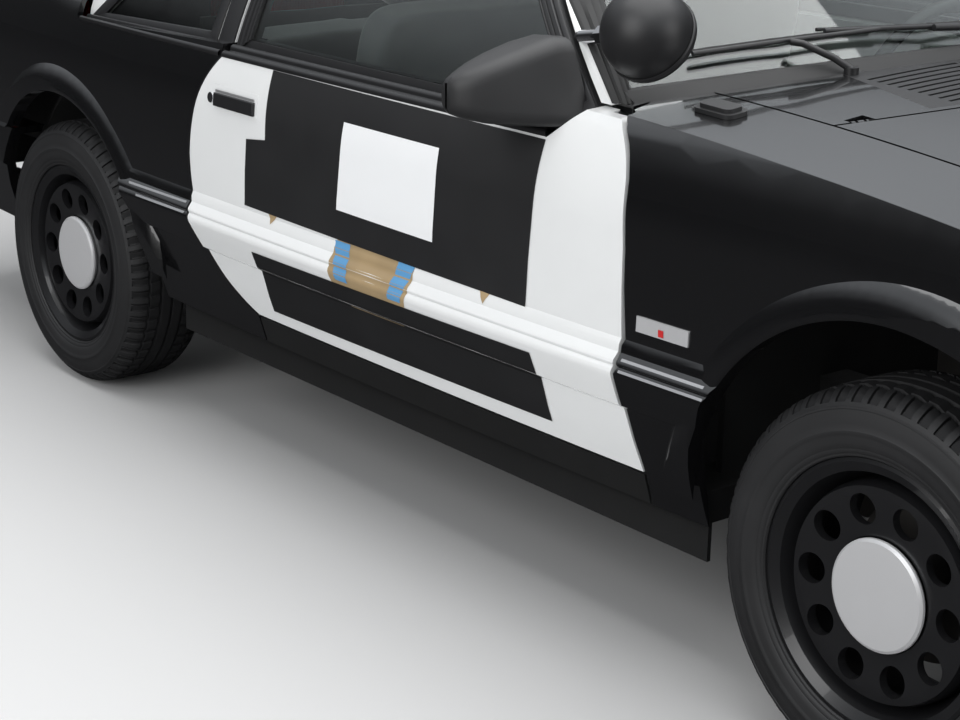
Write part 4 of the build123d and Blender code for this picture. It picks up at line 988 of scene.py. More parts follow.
@dataclass
class Wheels(Dresser):
    """Tyres with tread and sidewall rings, wheels and caps.

    Args:
        segments: tread segments round a tyre.
        groove: depth of the grooves.
        wall: sidewall from the bead outwards, as radius and outboard offset in millimetres.
        tread: tread across, as offset, radius, and whether it lies in a groove round the tyre.
        stations: places along one segment, between which the blocks and their gaps lie.
        tread_reach: offset within which the blocks are cut.
        tread_radius: radius outside which they are cut.
        slant: how far the segments lean, as a share of a segment, and the offset of full lean.
        slant_radius: radius outside which they lean.
        shoulder: offset from which shoulder blocks are cut, their depth as a share and their gaps.
        sipe: offsets between which the middle blocks are cut, their depth as a share and their gaps.
        cap: hub cap's section, as radius and outboard offset in millimetres.
        cap_steps: facets round the cap.
    """

    segments: int = 60
    groove: float = 0.0075
    wall: Profile = (
        (201, 82.5), (214, 84), (217.5, 85), (217.5, 97), (219.5, 99.6), (223, 100), (224.4, 101.6),
        (229, 103.6), (231, 103.4), (232, 104.4), (241, 106.3), (249, 107.7), (253.2, 108.1), (254.4, 108.9),
        (259, 108.9), (260.2, 108), (270, 107.6), (281, 105.8), (290.5, 103), (291.5, 103.7), (294.5, 102.9),
        (295.5, 101.2), (301, 98.2), (306.5, 93.6), (310.2, 88.4),
    )
    tread: tuple[tuple[float, float, int], ...] = (
        (84, 313.6, 0), (78, 317, 0), (72, 319.2, 0), (64.5, 320.6, 0), (63.5, 320.7, 1), (57.5, 321.0, 1),
        (56.5, 321.1, 0), (46, 321.6, 0), (34.5, 321.8, 0), (33.5, 321.8, 1), (26.5, 321.9, 1),
        (25.5, 322, 0), (15, 322, 0), (4.5, 322, 0), (3.5, 322, 1),
    )
    stations: tuple[float, ...] = (0.0, 0.10, 0.13, 0.48, 0.51, 0.61, 0.64, 1.0)
    tread_reach: float = 96.0
    tread_radius: float = 300.0
    slant: tuple[float, float] = (0.45, 109.0)
    slant_radius: float = 296.0
    shoulder: tuple[float, float, tuple[int, ...]] = (62.0, 0.85, (0, 1, 4, 5))
    sipe: tuple[float, float, float, tuple[int, ...]] = (34.0, 57.0, 0.6, (0, 1))
    cap: Profile = (
        (0.0, 88.0), (40.0, 88.0), (80.0, 87.6), (84.5, 87.2), (86.3, 86.0), (89.4, 83.6), (90.0, 80.0),
        (88.6, 77.5), (80.0, 67.0),
    )
    cap_steps: int = 72

    def build(self) -> None:
        """Dress all four wheels."""
        ring = RingNodes()
        for corner in CORNERS:
            self._tyre(corner, ring)
            self.skin(f"wheel_{corner.tag}", "wheel", corner.body, 32)
            self._cap(corner)

    def _section(self) -> list[tuple[float, float, int]]:
        """The tyre's whole section.

        Returns:
            Radius, offset and groove mark of each point, from bead to bead.
        """
        outer = [(r, h, 0) for r, h in self.wall] + [(r, h, groove) for h, r, groove in self.tread]
        return outer + [(r, -h, groove) for r, h, groove in reversed(outer)]

    def _tyre(self, corner: Corner, ring: RingNodes) -> None:
        """One tyre, made of a tread segment that is repeated.

        Args:
            corner: the wheel.
            ring: the tree that repeats the segment.
        """
        step = 2 * math.pi / self.segments
        most, full = self.slant
        rows = []
        for j, share in enumerate(self.stations):
            gap = j % (len(self.stations) - 1)
            row = []
            for radius, offset, groove in self._section():
                depth = 0.0
                if radius > self.tread_radius and (groove or abs(offset) < self.tread_reach):
                    depth = self._cut(gap, abs(offset), groove)
                lean = most * abs(offset) / full if radius > self.slant_radius else 0.0
                turn = (share + lean) * step
                r = radius / 1000 - depth
                row.append((r * math.sin(turn), corner.side * offset / 1000, r * math.cos(turn)))
            rows.append(row)
        obj = grid(f"tyre_tread_{corner.tag}", rows)
        sharpen(obj.data, TREAD_EDGE)
        if corner.side == RIGHT:
            obj.data.flip_normals()
        ring.repeat(obj, self.segments, self.paint.get("tyre"))
        obj.data.transform(corner.place)
        self.finish(obj, "tyre", corner.body, f"tyre_{corner.tag}")

    def _cut(self, gap: int, reach: float, groove: int) -> float:
        """Depth of the tread's cut at a gap and an offset.

        Args:
            gap: number of the gap between two stations.
            reach: distance from the middle of the tread, in millimetres.
            groove: 1 in a groove round the tyre.

        Returns:
            The depth in metres, 0 where a block stands.
        """
        from_reach, share, gaps = self.shoulder
        low, high, sipe_share, sipe_gaps = self.sipe
        if groove:
            return self.groove
        if reach > from_reach:
            return self.groove * share if gap in gaps else 0.0
        if low < reach < high:
            return self.groove * sipe_share if gap in sipe_gaps else 0.0
        return 0.0

    def _cap(self, corner: Corner) -> None:
        """Plain turned hub cap.

        Args:
            corner: the wheel.
        """
        rows = []
        for k in range(self.cap_steps):
            turn = 2 * math.pi * k / self.cap_steps
            across, up = math.sin(turn) / 1000, math.cos(turn) / 1000
            rows.append([(r * across, corner.side * h / 1000, r * up) for r, h in self.cap])
        obj = grid(f"cap_{corner.tag}", rows, closed=True)
        sharpen(obj.data, CAP_EDGE)
        if corner.side == RIGHT:
            obj.data.flip_normals()
        obj.data.transform(corner.place)
        self.finish(obj, "cap", corner.body, f"hub_cap_{corner.tag}")


# Door covers, sign, handle and badge


@dataclass(frozen=True)
class Sheet:
    """A flat-cut sheet on the body side.

    Args:
        name: piece name.
        outline: corners as X and Z.
        out: distance outside the skin.
        paint: finish.
    """

    name: str
    outline: Line
    out: float
    paint: str


def rounded(corners: Line, radius: float, steps: int = 5) -> list[tuple[float, float]]:
    """A closed outline with its corners rounded.

    Args:
        corners: the sharp corners.
        radius: how far a rounding reaches along each edge.
        steps: points on each rounding, less one.

    Returns:
        The outline.
    """
    made = []
    for i, here in enumerate(corners):
        corner = Vector(here)
        first = (Vector(corners[i - 1]) - corner).normalized() * radius
        last = (Vector(corners[(i + 1) % len(corners)]) - corner).normalized() * radius
        for k in range(steps + 1):
            t = k / steps
            made.append(tuple(corner + first * (1 - t) ** 2 + last * t**2))
    return made


def circle(x: float, z: float, radius: float, count: int = 40) -> Line:
    """Outline of a circle in X and Z.

    Args:
        x: its middle along the car.
        z: its middle's height.
        radius: radius in metres.
        count: number of corners.

    Returns:
        The outline.
    """
    turns = [2 * math.pi * k / count for k in range(count)]
    return tuple((x + radius * math.cos(turn), z + radius * math.sin(turn)) for turn in turns)


def oblong(left: float, right: float, low: float, high: float) -> Line:
    """Outline of an upright rectangle in X and Z.

    Args:
        left: rear edge.
        right: front edge.
        low: lower edge.
        high: upper edge.

    Returns:
        The outline.
    """
    return ((left, low), (right, low), (right, high), (left, high))


DOOR_SHEETS = (
    Sheet("upper_cover", ((-0.327, 0.616), (0.576, 0.606), (0.606, 0.903), (-0.228, 0.907), (-0.238, 0.766),
                          (-0.310, 0.757)), 0.0012, "cover"),
    Sheet("lower_cover", ((-0.271, 0.396), (0.620, 0.402), (0.612, 0.535), (-0.276, 0.530)), 0.0012, "cover"),
    Sheet("blank_sign", ((0.014, 0.672), (0.318, 0.669), (0.334, 0.845), (0.039, 0.846)), 0.0022, "sign"),
    Sheet("roundel_field", circle(0.135, 0.580, 0.128), 0.0004, "tan"),
    Sheet("roundel_ring_left", ((0.035, 0.540), (0.075, 0.540), (0.055, 0.610), (0.005, 0.610)), 0.0008,
          "blue"),
    Sheet("upper_tip", ((-0.236, 0.6165), (-0.204, 0.6155), (-0.222, 0.596)), 0.0009, "tan"),
    Sheet("lower_tip", ((0.452, 0.6085), (0.480, 0.6075), (0.468, 0.588)), 0.0009, "tan"),
    Sheet("roundel_ring_right", ((0.205, 0.540), (0.245, 0.540), (0.262, 0.612), (0.212, 0.612)), 0.0008,
          "blue"),
)


@dataclass
class Doors(Dresser):
    """Covers, blank sign, handle and lock on both doors.

    Args:
        scoop: recess behind the handle.
        flap: the handle's paddle.
        edge: grey strip above the paddle, a painted highlight of its top.
        lock: lock's centre and radius.
        outs: how far the scoop, flap, edge and lock stand out.
        walls: thickness of the scoop, flap and lock.
        round_over: width of the flap's rounding.
    """

    scoop: Line = oblong(-0.436, -0.268, 0.802, 0.852)
    flap: Line = oblong(-0.430, -0.276, 0.808, 0.836)
    edge: Line = oblong(-0.428, -0.278, 0.837, 0.842)
    lock: tuple[float, float, float] = (-0.449, 0.822, 0.011)
    outs: tuple[float, float, float, float] = (0.0012, 0.008, 0.004, 0.003)
    walls: tuple[float, float, float] = (0.002, 0.008, 0.003)
    round_over: float = 0.002

    def build(self) -> None:
        """Dress both doors."""
        for side in (RIGHT, LEFT):
            tag = side_name(side)
            for sheet in DOOR_SHEETS:
                obj = self.plate(f"{sheet.name}_{tag}", sheet.outline, sheet.out, side)
                self.finish(obj, sheet.paint, door_body(side))
            self._handle(side, tag)

    def _handle(self, side: int, tag: str) -> None:
        """Scooped handle with its paddle, edge and lock.

        Args:
            side: RIGHT or LEFT.
            tag: the side's name.
        """
        door = door_body(side)
        scoop = self.plate(f"handle_scoop_{tag}", self.scoop, self.outs[0], side)
        modifier(scoop, "SOLIDIFY", thickness=self.walls[0], offset=-1)
        self.finish(scoop, "white_paint", door)
        flap = self.plate(f"handle_flap_{tag}", self.flap, self.outs[1], side)
        modifier(flap, "SOLIDIFY", thickness=self.walls[1], offset=-1)
        modifier(flap, "BEVEL", width=self.round_over, segments=2, limit_method="ANGLE")
        self.finish(flap, "trim", door)
        # grey strip along the paddle's top: a painted highlight
        edge = self.plate(f"handle_edge_{tag}", self.edge, self.outs[2], side)
        self.finish(edge, "line", door)
        lock = self.plate(f"door_lock_{tag}", circle(*self.lock, 24), self.outs[3], side, step=0.01)
        modifier(lock, "SOLIDIFY", thickness=self.walls[2], offset=-1)
        self.finish(lock, "chrome", door)


@dataclass
class Badges(Dresser):
    """Plain bar on each fender, and grey strips on the mouldings painted as the highlights of their ridges.

    Args:
        bar: outline of the bar.
        bar_out: how far the bar stands out, which is its thickness too.
        square: outline of its coloured square.
        square_out: how far the square stands out.
        lines: name and outline of each grey strip painted as a ridge highlight.
        highlight_out: how far the lines stand out.
    """

    bar: Line = ((0.853, 0.628), (0.970, 0.628), (0.972, 0.655), (0.855, 0.655))
    bar_out: float = 0.003
    square: Line = oblong(0.905, 0.917, 0.631, 0.643)
    square_out: float = 0.0038
    lines: tuple[tuple[str, Line], ...] = (
        ("fender_line_upper", ((0.834, 0.5785), (1.020, 0.5785), (1.020, 0.5745), (0.834, 0.5745))),
        ("fender_line_lower", ((0.834, 0.560), (1.024, 0.560), (1.024, 0.556), (0.834, 0.556))),
        ("quarter_line_upper", ((-0.812, 0.580), (-0.552, 0.583), (-0.552, 0.579), (-0.806, 0.576))),
        ("quarter_line_lower", ((-0.766, 0.5605), (-0.548, 0.5625), (-0.548, 0.5585), (-0.762, 0.5565))),
    )
    highlight_out: float = 0.0006

    def build(self) -> None:
        """Add bars and lines on both sides."""
        for side in (RIGHT, LEFT):
            tag = side_name(side)
            bar = self.plate(f"fender_bar_{tag}", self.bar, self.bar_out, side)
            modifier(bar, "SOLIDIFY", thickness=self.bar_out, offset=-1)
            self.finish(bar, "bar", Body.ROOT)
            square = self.plate(f"fender_bar_square_{tag}", self.square, self.square_out, side)
            self.finish(square, "bar_red", Body.ROOT)
            # each line is a grey strip painted as the highlight on a moulding ridge
            for name, outline in self.lines:
                line = self.plate(f"{name}_{tag}", outline, self.highlight_out, side)
                self.finish(line, "line", Body.ROOT)


# Window frames, weatherstrips, belt and wipers


FLAT = ((0.0, -0.001), (0.0, 0.004), (0.06, 0.005), (0.94, 0.005), (1.0, 0.004), (1.0, -0.004))
RIDGED = (
    (0.0, -0.001), (0.0, 0.004), (0.04, 0.005), (0.2, 0.005), (0.23, 0.0015), (0.29, 0.0015), (0.32, 0.0065),
    (0.5, 0.0065), (0.54, 0.002), (0.6, 0.002), (0.63, 0.005), (0.76, 0.005), (0.8, 0.001), (0.86, 0.001),
    (0.89, 0.004), (0.97, 0.0035), (1.0, -0.004),
)
BELT = (
    (0.0, 0.0), (0.02, 0.005), (0.08, 0.008), (0.2, 0.0095), (0.32, 0.008), (0.4, 0.004), (0.45, 0.0015),
    (0.56, 0.0015), (0.62, 0.006), (0.7, 0.0085), (0.84, 0.0085), (0.94, 0.006), (1.0, 0.0),
)


@dataclass
class Windows(Dresser):
    """Black frames round the glass, belt mouldings, screen seals and wipers.

    Args:
        door_outer: outer edge of the door's weatherstrip.
        door_inner: its edge on the glass.
        quarter: outline of the quarter window.
        quarter_edges: how far its frame reaches outwards and inwards.
        pillar: front and rear edge of the post cover.
        seal_outer: outer edge of the windshield seal.
        seal_inner: its edge on the glass.
        apron_reach: half width of the strip along the windshield's foot.
        apron_edges: how far below and above the foot it lies.
        foot_curve: height of the windshield's foot at its middle, and how it falls with the distance squared.
        belts: name, start, end and whether it is on the door, of each belt moulding.
        belt_low: height of the belt moulding's lower edge.
        belt_high: height of its upper edge, and how it falls towards the rear.
        belt_outs: how far its edges lie outside the skin and the glass.
        belt_normal: the way that its ridges stand out, sideways and up.
        belt_step: spacing of the points along it.
        wipers: name, the blade's points across the glass, and the pivot.
        wiper_outs: how far the rubber, the holder and the arm lie outside the glass.
        wiper_lift: how much higher the arm bows.
        bar_radii: radius of the rubber, holder, arm and boss.
        boss_reach: how far the boss goes down and up from the pivot.
    """

    door_outer: Line = (
        (0.600, 0.911), (0.672, 0.963), (0.343, 1.229), (0.285, 1.239), (-0.398, 1.239), (-0.426, 1.211),
        (-0.426, 0.914),
    )
    door_inner: Line = (
        (0.524, 0.946), (0.562, 1.002), (0.327, 1.198), (0.275, 1.209), (-0.366, 1.209), (-0.381, 1.190),
        (-0.381, 0.946),
    )
    quarter: Line = (
        (-0.523, 0.930), (-1.051, 0.9126), (-0.760, 1.148), (-0.722, 1.180), (-0.660, 1.200), (-0.513, 1.212),
    )
    quarter_edges: tuple[float, float] = (-0.016, 0.014)
    pillar: tuple[Line, Line] = (((-0.441, 0.914), (-0.441, 1.236)), ((-0.500, 0.916), (-0.492, 1.236)))
    seal_outer: Line = ((0.776, 0.973), (0.705, 1.116), (0.622, 1.238), (0.570, 1.268), (0.0, 1.292))
    seal_inner: Line = ((0.745, 0.973), (0.650, 1.116), (0.559, 1.236), (0.528, 1.247), (0.0, 1.269))
    apron_reach: float = 0.748
    apron_edges: tuple[float, float] = (-0.003, 0.016)
    foot_curve: tuple[float, float] = (1.0125, -0.0694)
    belts: tuple[tuple[str, float, float, bool], ...] = (
        ("door_belt", -0.426, 0.604, True),
        ("quarter_belt", -1.074, -0.441, False),
    )
    belt_low: float = 0.9075
    belt_high: tuple[float, float, float] = (0.927, -0.45, 0.022)
    belt_outs: tuple[float, float] = (0.0008, 0.001)
    belt_normal: tuple[float, float] = (0.5, 0.866)
    belt_step: float = 0.04
    wipers: tuple[tuple[str, Line, Point], ...] = (
        ("wiper_right", ((-0.600, 1.041), (-0.420, 1.055), (-0.215, 1.064)), (0.842, -0.352, 1.012)),
        ("wiper_left", ((-0.330, 1.066), (-0.100, 1.062), (0.150, 1.058)), (0.862, 0.240, 1.020)),
    )
    wiper_outs: tuple[float, float, float] = (0.004, 0.014, 0.020)
    wiper_lift: float = 0.006
    bar_radii: tuple[float, float, float, float] = (0.0035, 0.0048, 0.0065, 0.013)
    boss_reach: tuple[float, float] = (0.03, 0.004)

    def build(self) -> None:
        """Add the trim on both sides."""
        for side in (RIGHT, LEFT):
            tag = side_name(side)
            door = door_body(side)
            frame = band(f"door_weatherstrip_{tag}", CABIN, self.door_outer, self.door_inner, RIDGED, side)
            self.finish(frame, "trim", door)
            outer, inner = [inside(self.quarter, edge) for edge in self.quarter_edges]
            quarter = band(f"quarter_frame_{tag}", CABIN, outer, inner, FLAT, side, closed=True)
            self.finish(quarter, "trim", Body.ROOT)
            post = band(f"door_post_cover_{tag}", CABIN, *self.pillar, FLAT, side)
            self.finish(post, "trim", Body.ROOT)
            seal = band(f"windshield_seal_{tag}", WINDSHIELD, self.seal_outer, self.seal_inner, RIDGED, side)
            self.finish(seal, "seal", Body.ROOT)
            self._apron(side, tag)
            for name, start, end, on_door in self.belts:
                self._belt(f"{name}_{tag}", start, end, side, door if on_door else Body.ROOT)
        for name, blade, pivot in self.wipers:
            self._wiper(name, blade, Vector(pivot))

    def foot(self, y: float) -> float:
        """Height at which the windshield meets the cowl, at a distance from the middle."""
        middle, fall = self.foot_curve
        return middle + fall * y * y

    def _apron(self, side: int, tag: str, steps: int = 12) -> None:
        """Strip along the windshield's foot.

        Args:
            side: RIGHT or LEFT.
            tag: the side's name.
            steps: parts along it.
        """
        places = [self.apron_reach * k / steps for k in range(steps + 1)]
        low, high = [[(y, self.foot(y) + edge) for y in places] for edge in self.apron_edges]
        apron = band(f"windshield_apron_{tag}", WINDSHIELD, low, high, FLAT, side)
        self.finish(apron, "seal", Body.ROOT)

    def _belt(self, name: str, start: float, end: float, side: int, body: Body) -> None:
        """Ridged moulding between the skin and the side glass.

        Args:
            name: piece name.
            start: rear end.
            end: front end.
            side: RIGHT or LEFT.
            body: the body that it rides on.
        """
        rows = []
        top, fall_from, fall = self.belt_high
        low_out, high_out = self.belt_outs
        sideways, up = self.belt_normal
        out = Vector((0.0, side * sideways, up))
        count = max(2, round((end - start) / self.belt_step))
        for k in range(count + 1):
            x = lerp(start, end, k / count)
            low = Vector(SIDE.at(x, self.belt_low, low_out, side))
            high = Vector(CABIN.at(x, top + min(0.0, x - fall_from) * fall, high_out, side))
            rows.append([tuple(low.lerp(high, share) + out * rise) for share, rise in BELT])
        obj = grid(name, rows)
        sharpen(obj.data, BAND_EDGE)
        self.finish(obj, "trim", body)

    def _wiper(self, name: str, blade: Line, pivot: Vector) -> None:
        """Blade, its holder, the arm and the boss at its pivot.

        Args:
            name: start of the names of its pieces.
            blade: the blade's points, as distance from the middle and height.
            pivot: place of the boss.
        """
        lines = []
        for out in self.wiper_outs:
            lines.append([WINDSHIELD.at(abs(y), z, out, RIGHT if y < 0 else LEFT) for y, z in blade])
        lift = Vector((0.0, 0.0, self.wiper_lift))
        middle = Vector(lines[2][1])
        path = [pivot, pivot.lerp(middle, 0.3) + lift, pivot.lerp(middle, 0.8) + lift, middle]
        down, up = self.boss_reach
        boss = [pivot - Vector((0.0, 0.0, down)), pivot + Vector((0.0, 0.0, up))]
        bars = (
            ("rubber", lines[0], 8, "seal"),
            ("holder", lines[1], 8, "trim"),
            ("arm", path, 10, "trim"),
            ("boss", boss, 20, "trim"),
        )
        for radius, (part, line, sides, paint) in zip(self.bar_radii, bars):
            self.finish(tube(f"{name}_{part}", line, radius, sides), paint, Body.ROOT)


# Mirrors and spotlights


@dataclass
class Fittings(Dresser):
    """Mirror shells and glass, spotlight rims, lenses and brackets.

    Args:
        rim: centre of the right spotlight's rim, and the way that it aims.
        rings: rim's section, as radius and how far ahead.
        lens: lens radius and how far ahead it lies.
        facets: points round the rim.
        stem: places along the bracket.
        stem_radius: radius of the bracket, then of its nut.
        mirror: sections from the outer end: reach, rear x, front x low and high, heights low and high.
        mirror_corner: greatest corner radius of a section, and its share of the height.
        pane: mirror glass, as distance from the middle and height.
        pane_x: place of the mirror glass.
    """

    rim: tuple[Point, Point] = ((0.757, -0.745, 1.084), (-0.15, 0.80, -0.58))
    rings: Profile = ((0.0764, -0.002), (0.0785, 0.0), (0.0785, 0.004), (0.0764, 0.006))
    lens: tuple[float, float] = (0.069, 0.0135)
    facets: int = 64
    stem: tuple[Point, ...] = ((0.572, -0.732, 1.0635), (0.628, -0.741, 1.073), (0.672, -0.749, 1.081))
    stem_radius: tuple[float, float] = (0.0125, 0.017)
    mirror: tuple[tuple[float, ...], ...] = (
        (0.979, 0.502, 0.528, 0.526, 0.955, 0.998), (0.972, 0.497, 0.546, 0.542, 0.945, 1.008),
        (0.955, 0.494, 0.566, 0.558, 0.938, 1.018), (0.930, 0.493, 0.584, 0.572, 0.932, 1.030),
        (0.895, 0.493, 0.604, 0.584, 0.928, 1.043), (0.850, 0.500, 0.630, 0.594, 0.926, 1.058),
        (0.812, 0.520, 0.655, 0.600, 0.926, 1.070), (0.780, 0.540, 0.660, 0.600, 0.930, 1.068),
    )
    mirror_corner: tuple[float, float] = (0.026, 0.35)
    pane: Line = (
        (0.955, 0.956), (0.965, 0.972), (0.960, 1.000), (0.940, 1.012), (0.850, 1.030), (0.836, 1.018),
        (0.834, 0.950), (0.850, 0.940),
    )
    pane_x: float = 0.4925

    def build(self) -> None:
        """Dress both sides."""
        for side in (RIGHT, LEFT):
            tag = side_name(side)
            self._mirror(side, tag)
            self._spotlight(side, tag)
        self.skin("spotlights", "trim", Body.ROOT, 45)

    def _mirror(self, side: int, tag: str) -> None:
        """Shell with a leaning front edge that grows out of the pillar's foot, and its glass.

        Args:
            side: RIGHT or LEFT.
            tag: the side's name.
        """
        most, part = self.mirror_corner
        rows = []
        for reach, rear, front_low, front_high, low, high in self.mirror:
            corners = ((rear, low), (front_low, low), (front_high, high), (rear, high))
            radius = min(most, (high - low) * part)
            row = [(x, side * reach, z) for x, z in rounded(corners, radius)]
            rows.append([*row, row[0]])
        obj = grid(f"mirror_shell_{tag}", rows)
        work = bmesh.new()
        work.from_mesh(obj.data)
        bmesh.ops.remove_doubles(work, verts=work.verts, dist=MERGE)
        bmesh.ops.holes_fill(work, edges=work.edges)
        bmesh.ops.recalc_face_normals(work, faces=work.faces)
        work.to_mesh(obj.data)
        work.free()
        sharpen(obj.data, BAND_EDGE)
        self.finish(obj, "grained", door_body(side), f"mirror_{tag}")
        pane = [(self.pane_x, side * y, z) for y, z in self.pane]
        glass = from_pydata(f"mirror_glass_{tag}", pane, [tuple(range(len(pane)))])
        self.finish(glass, "chrome", door_body(side))

    def _ring(self, radius: float, ahead: float, side: int) -> list[Vector]:
        """Points round the spotlight's axis, some way ahead of its rim.

        Args:
            radius: distance from the axis.
            ahead: how far ahead of the rim.
            side: RIGHT or LEFT.

        Returns:
            The points.
        """
        centre = Vector(self.rim[0])
        aim = Vector(self.rim[1]).normalized()
        across = aim.cross(Vector((0, 0, 1))).normalized()
        other = aim.cross(across)
        points = []
        for k in range(self.facets):
            turn = 2 * math.pi * k / self.facets
            point = centre + aim * ahead + radius * (across * math.cos(turn) + other * math.sin(turn))
            points.append(point * Vector((1, -side, 1)))
        return points

    def _spotlight(self, side: int, tag: str) -> None:
        """Rim, lens and bracket of one spotlight.

        Args:
            side: RIGHT or LEFT.
            tag: the side's name.
        """
        rows = [self._ring(radius, ahead, side) for radius, ahead in self.rings]
        rim = grid(f"spotlight_rim_{tag}", [[*row, row[0]] for row in rows])
        self.finish(rim, "trim", Body.ROOT)
        face = self._ring(*self.lens, side)
        lens = from_pydata(f"spotlight_lens_{tag}", face, [tuple(range(len(face)))])
        self.finish(lens, "chrome", Body.ROOT)
        path = [Vector(place) * Vector((1, -side, 1)) for place in self.stem]
        stem_radius, nut_radius = self.stem_radius
        self.finish(tube(f"spotlight_stem_{tag}", path, stem_radius, 24), "chrome", Body.ROOT)
        self.finish(tube(f"spotlight_nut_{tag}", path[1:], nut_radius, 6), "chrome", Body.ROOT)


# Seats


@dataclass(frozen=True)
class Cushion:
    """One stuffed pad or plain block of a seat.

    Args:
        centre: middle in metres.
        half: half sizes before the tilt.
        lean: turn about Y in degrees.
        crown: how far the broad faces swell.
        channels: number of sewn channels.
        slot: 0 for cloth, 1 for the hard base.
    """

    centre: Point
    half: Point
    lean: float = 0.0
    crown: float = 0.018
    channels: int = 4
    slot: int = 0


@dataclass
class Seats(Dresser):
    """Crowned cloth cushions for both rows.

    Args:
        front: pads of one front seat.
        rear: pads of the bench.
        places: how far the front seats lie from the middle.
        cuts: how finely a pad is divided.
        squareness: power of the pads' rounded form.
        channel_span: share of a pad that its channels cover on each side of the middle.
        channel: depth and width of a sewn channel.
        fill: how full the pads are; not used.
    """

    front: tuple[Cushion, ...] = (
        Cushion((-0.005, 0.0, 0.462), (0.262, 0.252, 0.062)),
        Cushion((-0.257, 0.0, 0.745), (0.272, 0.245, 0.056), lean=-78.0),
        Cushion((-0.336, 0.0, 1.078), (0.080, 0.122, 0.042), lean=-75.0, crown=0.010, channels=0),
        Cushion((0.0, 0.0, 0.332), (0.200, 0.210, 0.069), crown=0.0, channels=0, slot=1),
    )
    rear: tuple[Cushion, ...] = (
        Cushion((-0.798, 0.0, 0.385), (0.198, 0.530, 0.112), channels=3),
        Cushion((-0.925, 0.0, 0.680), (0.195, 0.530, 0.062), lean=-80.0, channels=3),
    )
    places: tuple[float, float] = (-0.37, 0.37)
    cuts: int = 23
    squareness: int = 8
    channel_span: float = 0.6
    channel: tuple[float, float] = (0.009, 0.05)
    fill: float = 0.75

    def build(self) -> None:
        """Make one piece for the front seats and one for the rear bench."""
        front = [(pad, y) for y in self.places for pad in self.front]
        self._piece("front_seat_cushions", front, "front_seats")
        self._piece("rear_seat_cushions", [(pad, 0.0) for pad in self.rear], "rear_seat")

    def _piece(self, name: str, pads: Sequence[tuple[Cushion, float]], node: str) -> None:
        """All the pads of one row as one padded piece.

        Args:
            name: piece name.
            pads: each pad and its distance from the middle.
            node: CAD node that the piece stands for.
        """
        work = bmesh.new()
        for pad, y in pads:
            self._pad(work, pad, y)
        bmesh.ops.recalc_face_normals(work, faces=work.faces)
        mesh = bpy.data.meshes.new(name)
        work.to_mesh(mesh)
        work.free()
        mesh.polygons.foreach_set("use_smooth", [True] * len(mesh.polygons))
        obj = self.finish(new_object(name, mesh), "cloth", Body.ROOT, node)
        obj.data.materials.append(self.paint.get("trim"))

    def _swell(self, pad: Cushion, x: float, v: float) -> float:
        """How far the broad face stands out at a place, less the channels.

        Args:
            pad: the pad.
            x: place along the pad, from -1 to 1.
            v: place across it, from -1 to 1.

        Returns:
            The height in metres.
        """
        depth, width = self.channel
        swell = pad.crown * (1 - x * x) * (1 - v * v)
        for k in range(pad.channels):
            line = self.channel_span * (2 * k / max(1, pad.channels - 1) - 1)
            swell -= depth * math.exp(-(((x - line) / width) ** 2)) * (1 - v**4)
        return swell

    def _pad(self, work: bmesh.types.BMesh, pad: Cushion, y: float) -> None:
        """Add one crowned pad to a mesh that is being made.

        Args:
            work: the mesh.
            pad: the pad.
            y: its distance from the middle.
        """
        part = bmesh.new()
        bmesh.ops.create_cube(part, size=2.0)
        bmesh.ops.subdivide_edges(part, edges=list(part.edges), cuts=self.cuts, use_grid_fill=True)
        turn = Matrix.Rotation(math.radians(pad.lean), 3, "Y")
        for vert in part.verts:
            soft = sum(abs(value) ** self.squareness for value in vert.co) ** (1 / self.squareness)
            x, v, z = vert.co / soft
            rise = z * pad.half[2] + math.copysign(self._swell(pad, x, v), z) * min(1.0, abs(z) * 2)
            local = turn @ Vector((x * pad.half[0], v * pad.half[1], rise))
            vert.co = Vector(pad.centre) + local + Vector((0.0, y, 0.0))
        for face in part.faces:
            face.material_index = pad.slot
        mesh = bpy.data.meshes.new("pad")
        part.to_mesh(mesh)
        part.free()
        work.from_mesh(mesh)
        bpy.data.meshes.remove(mesh)


# Studio and camera


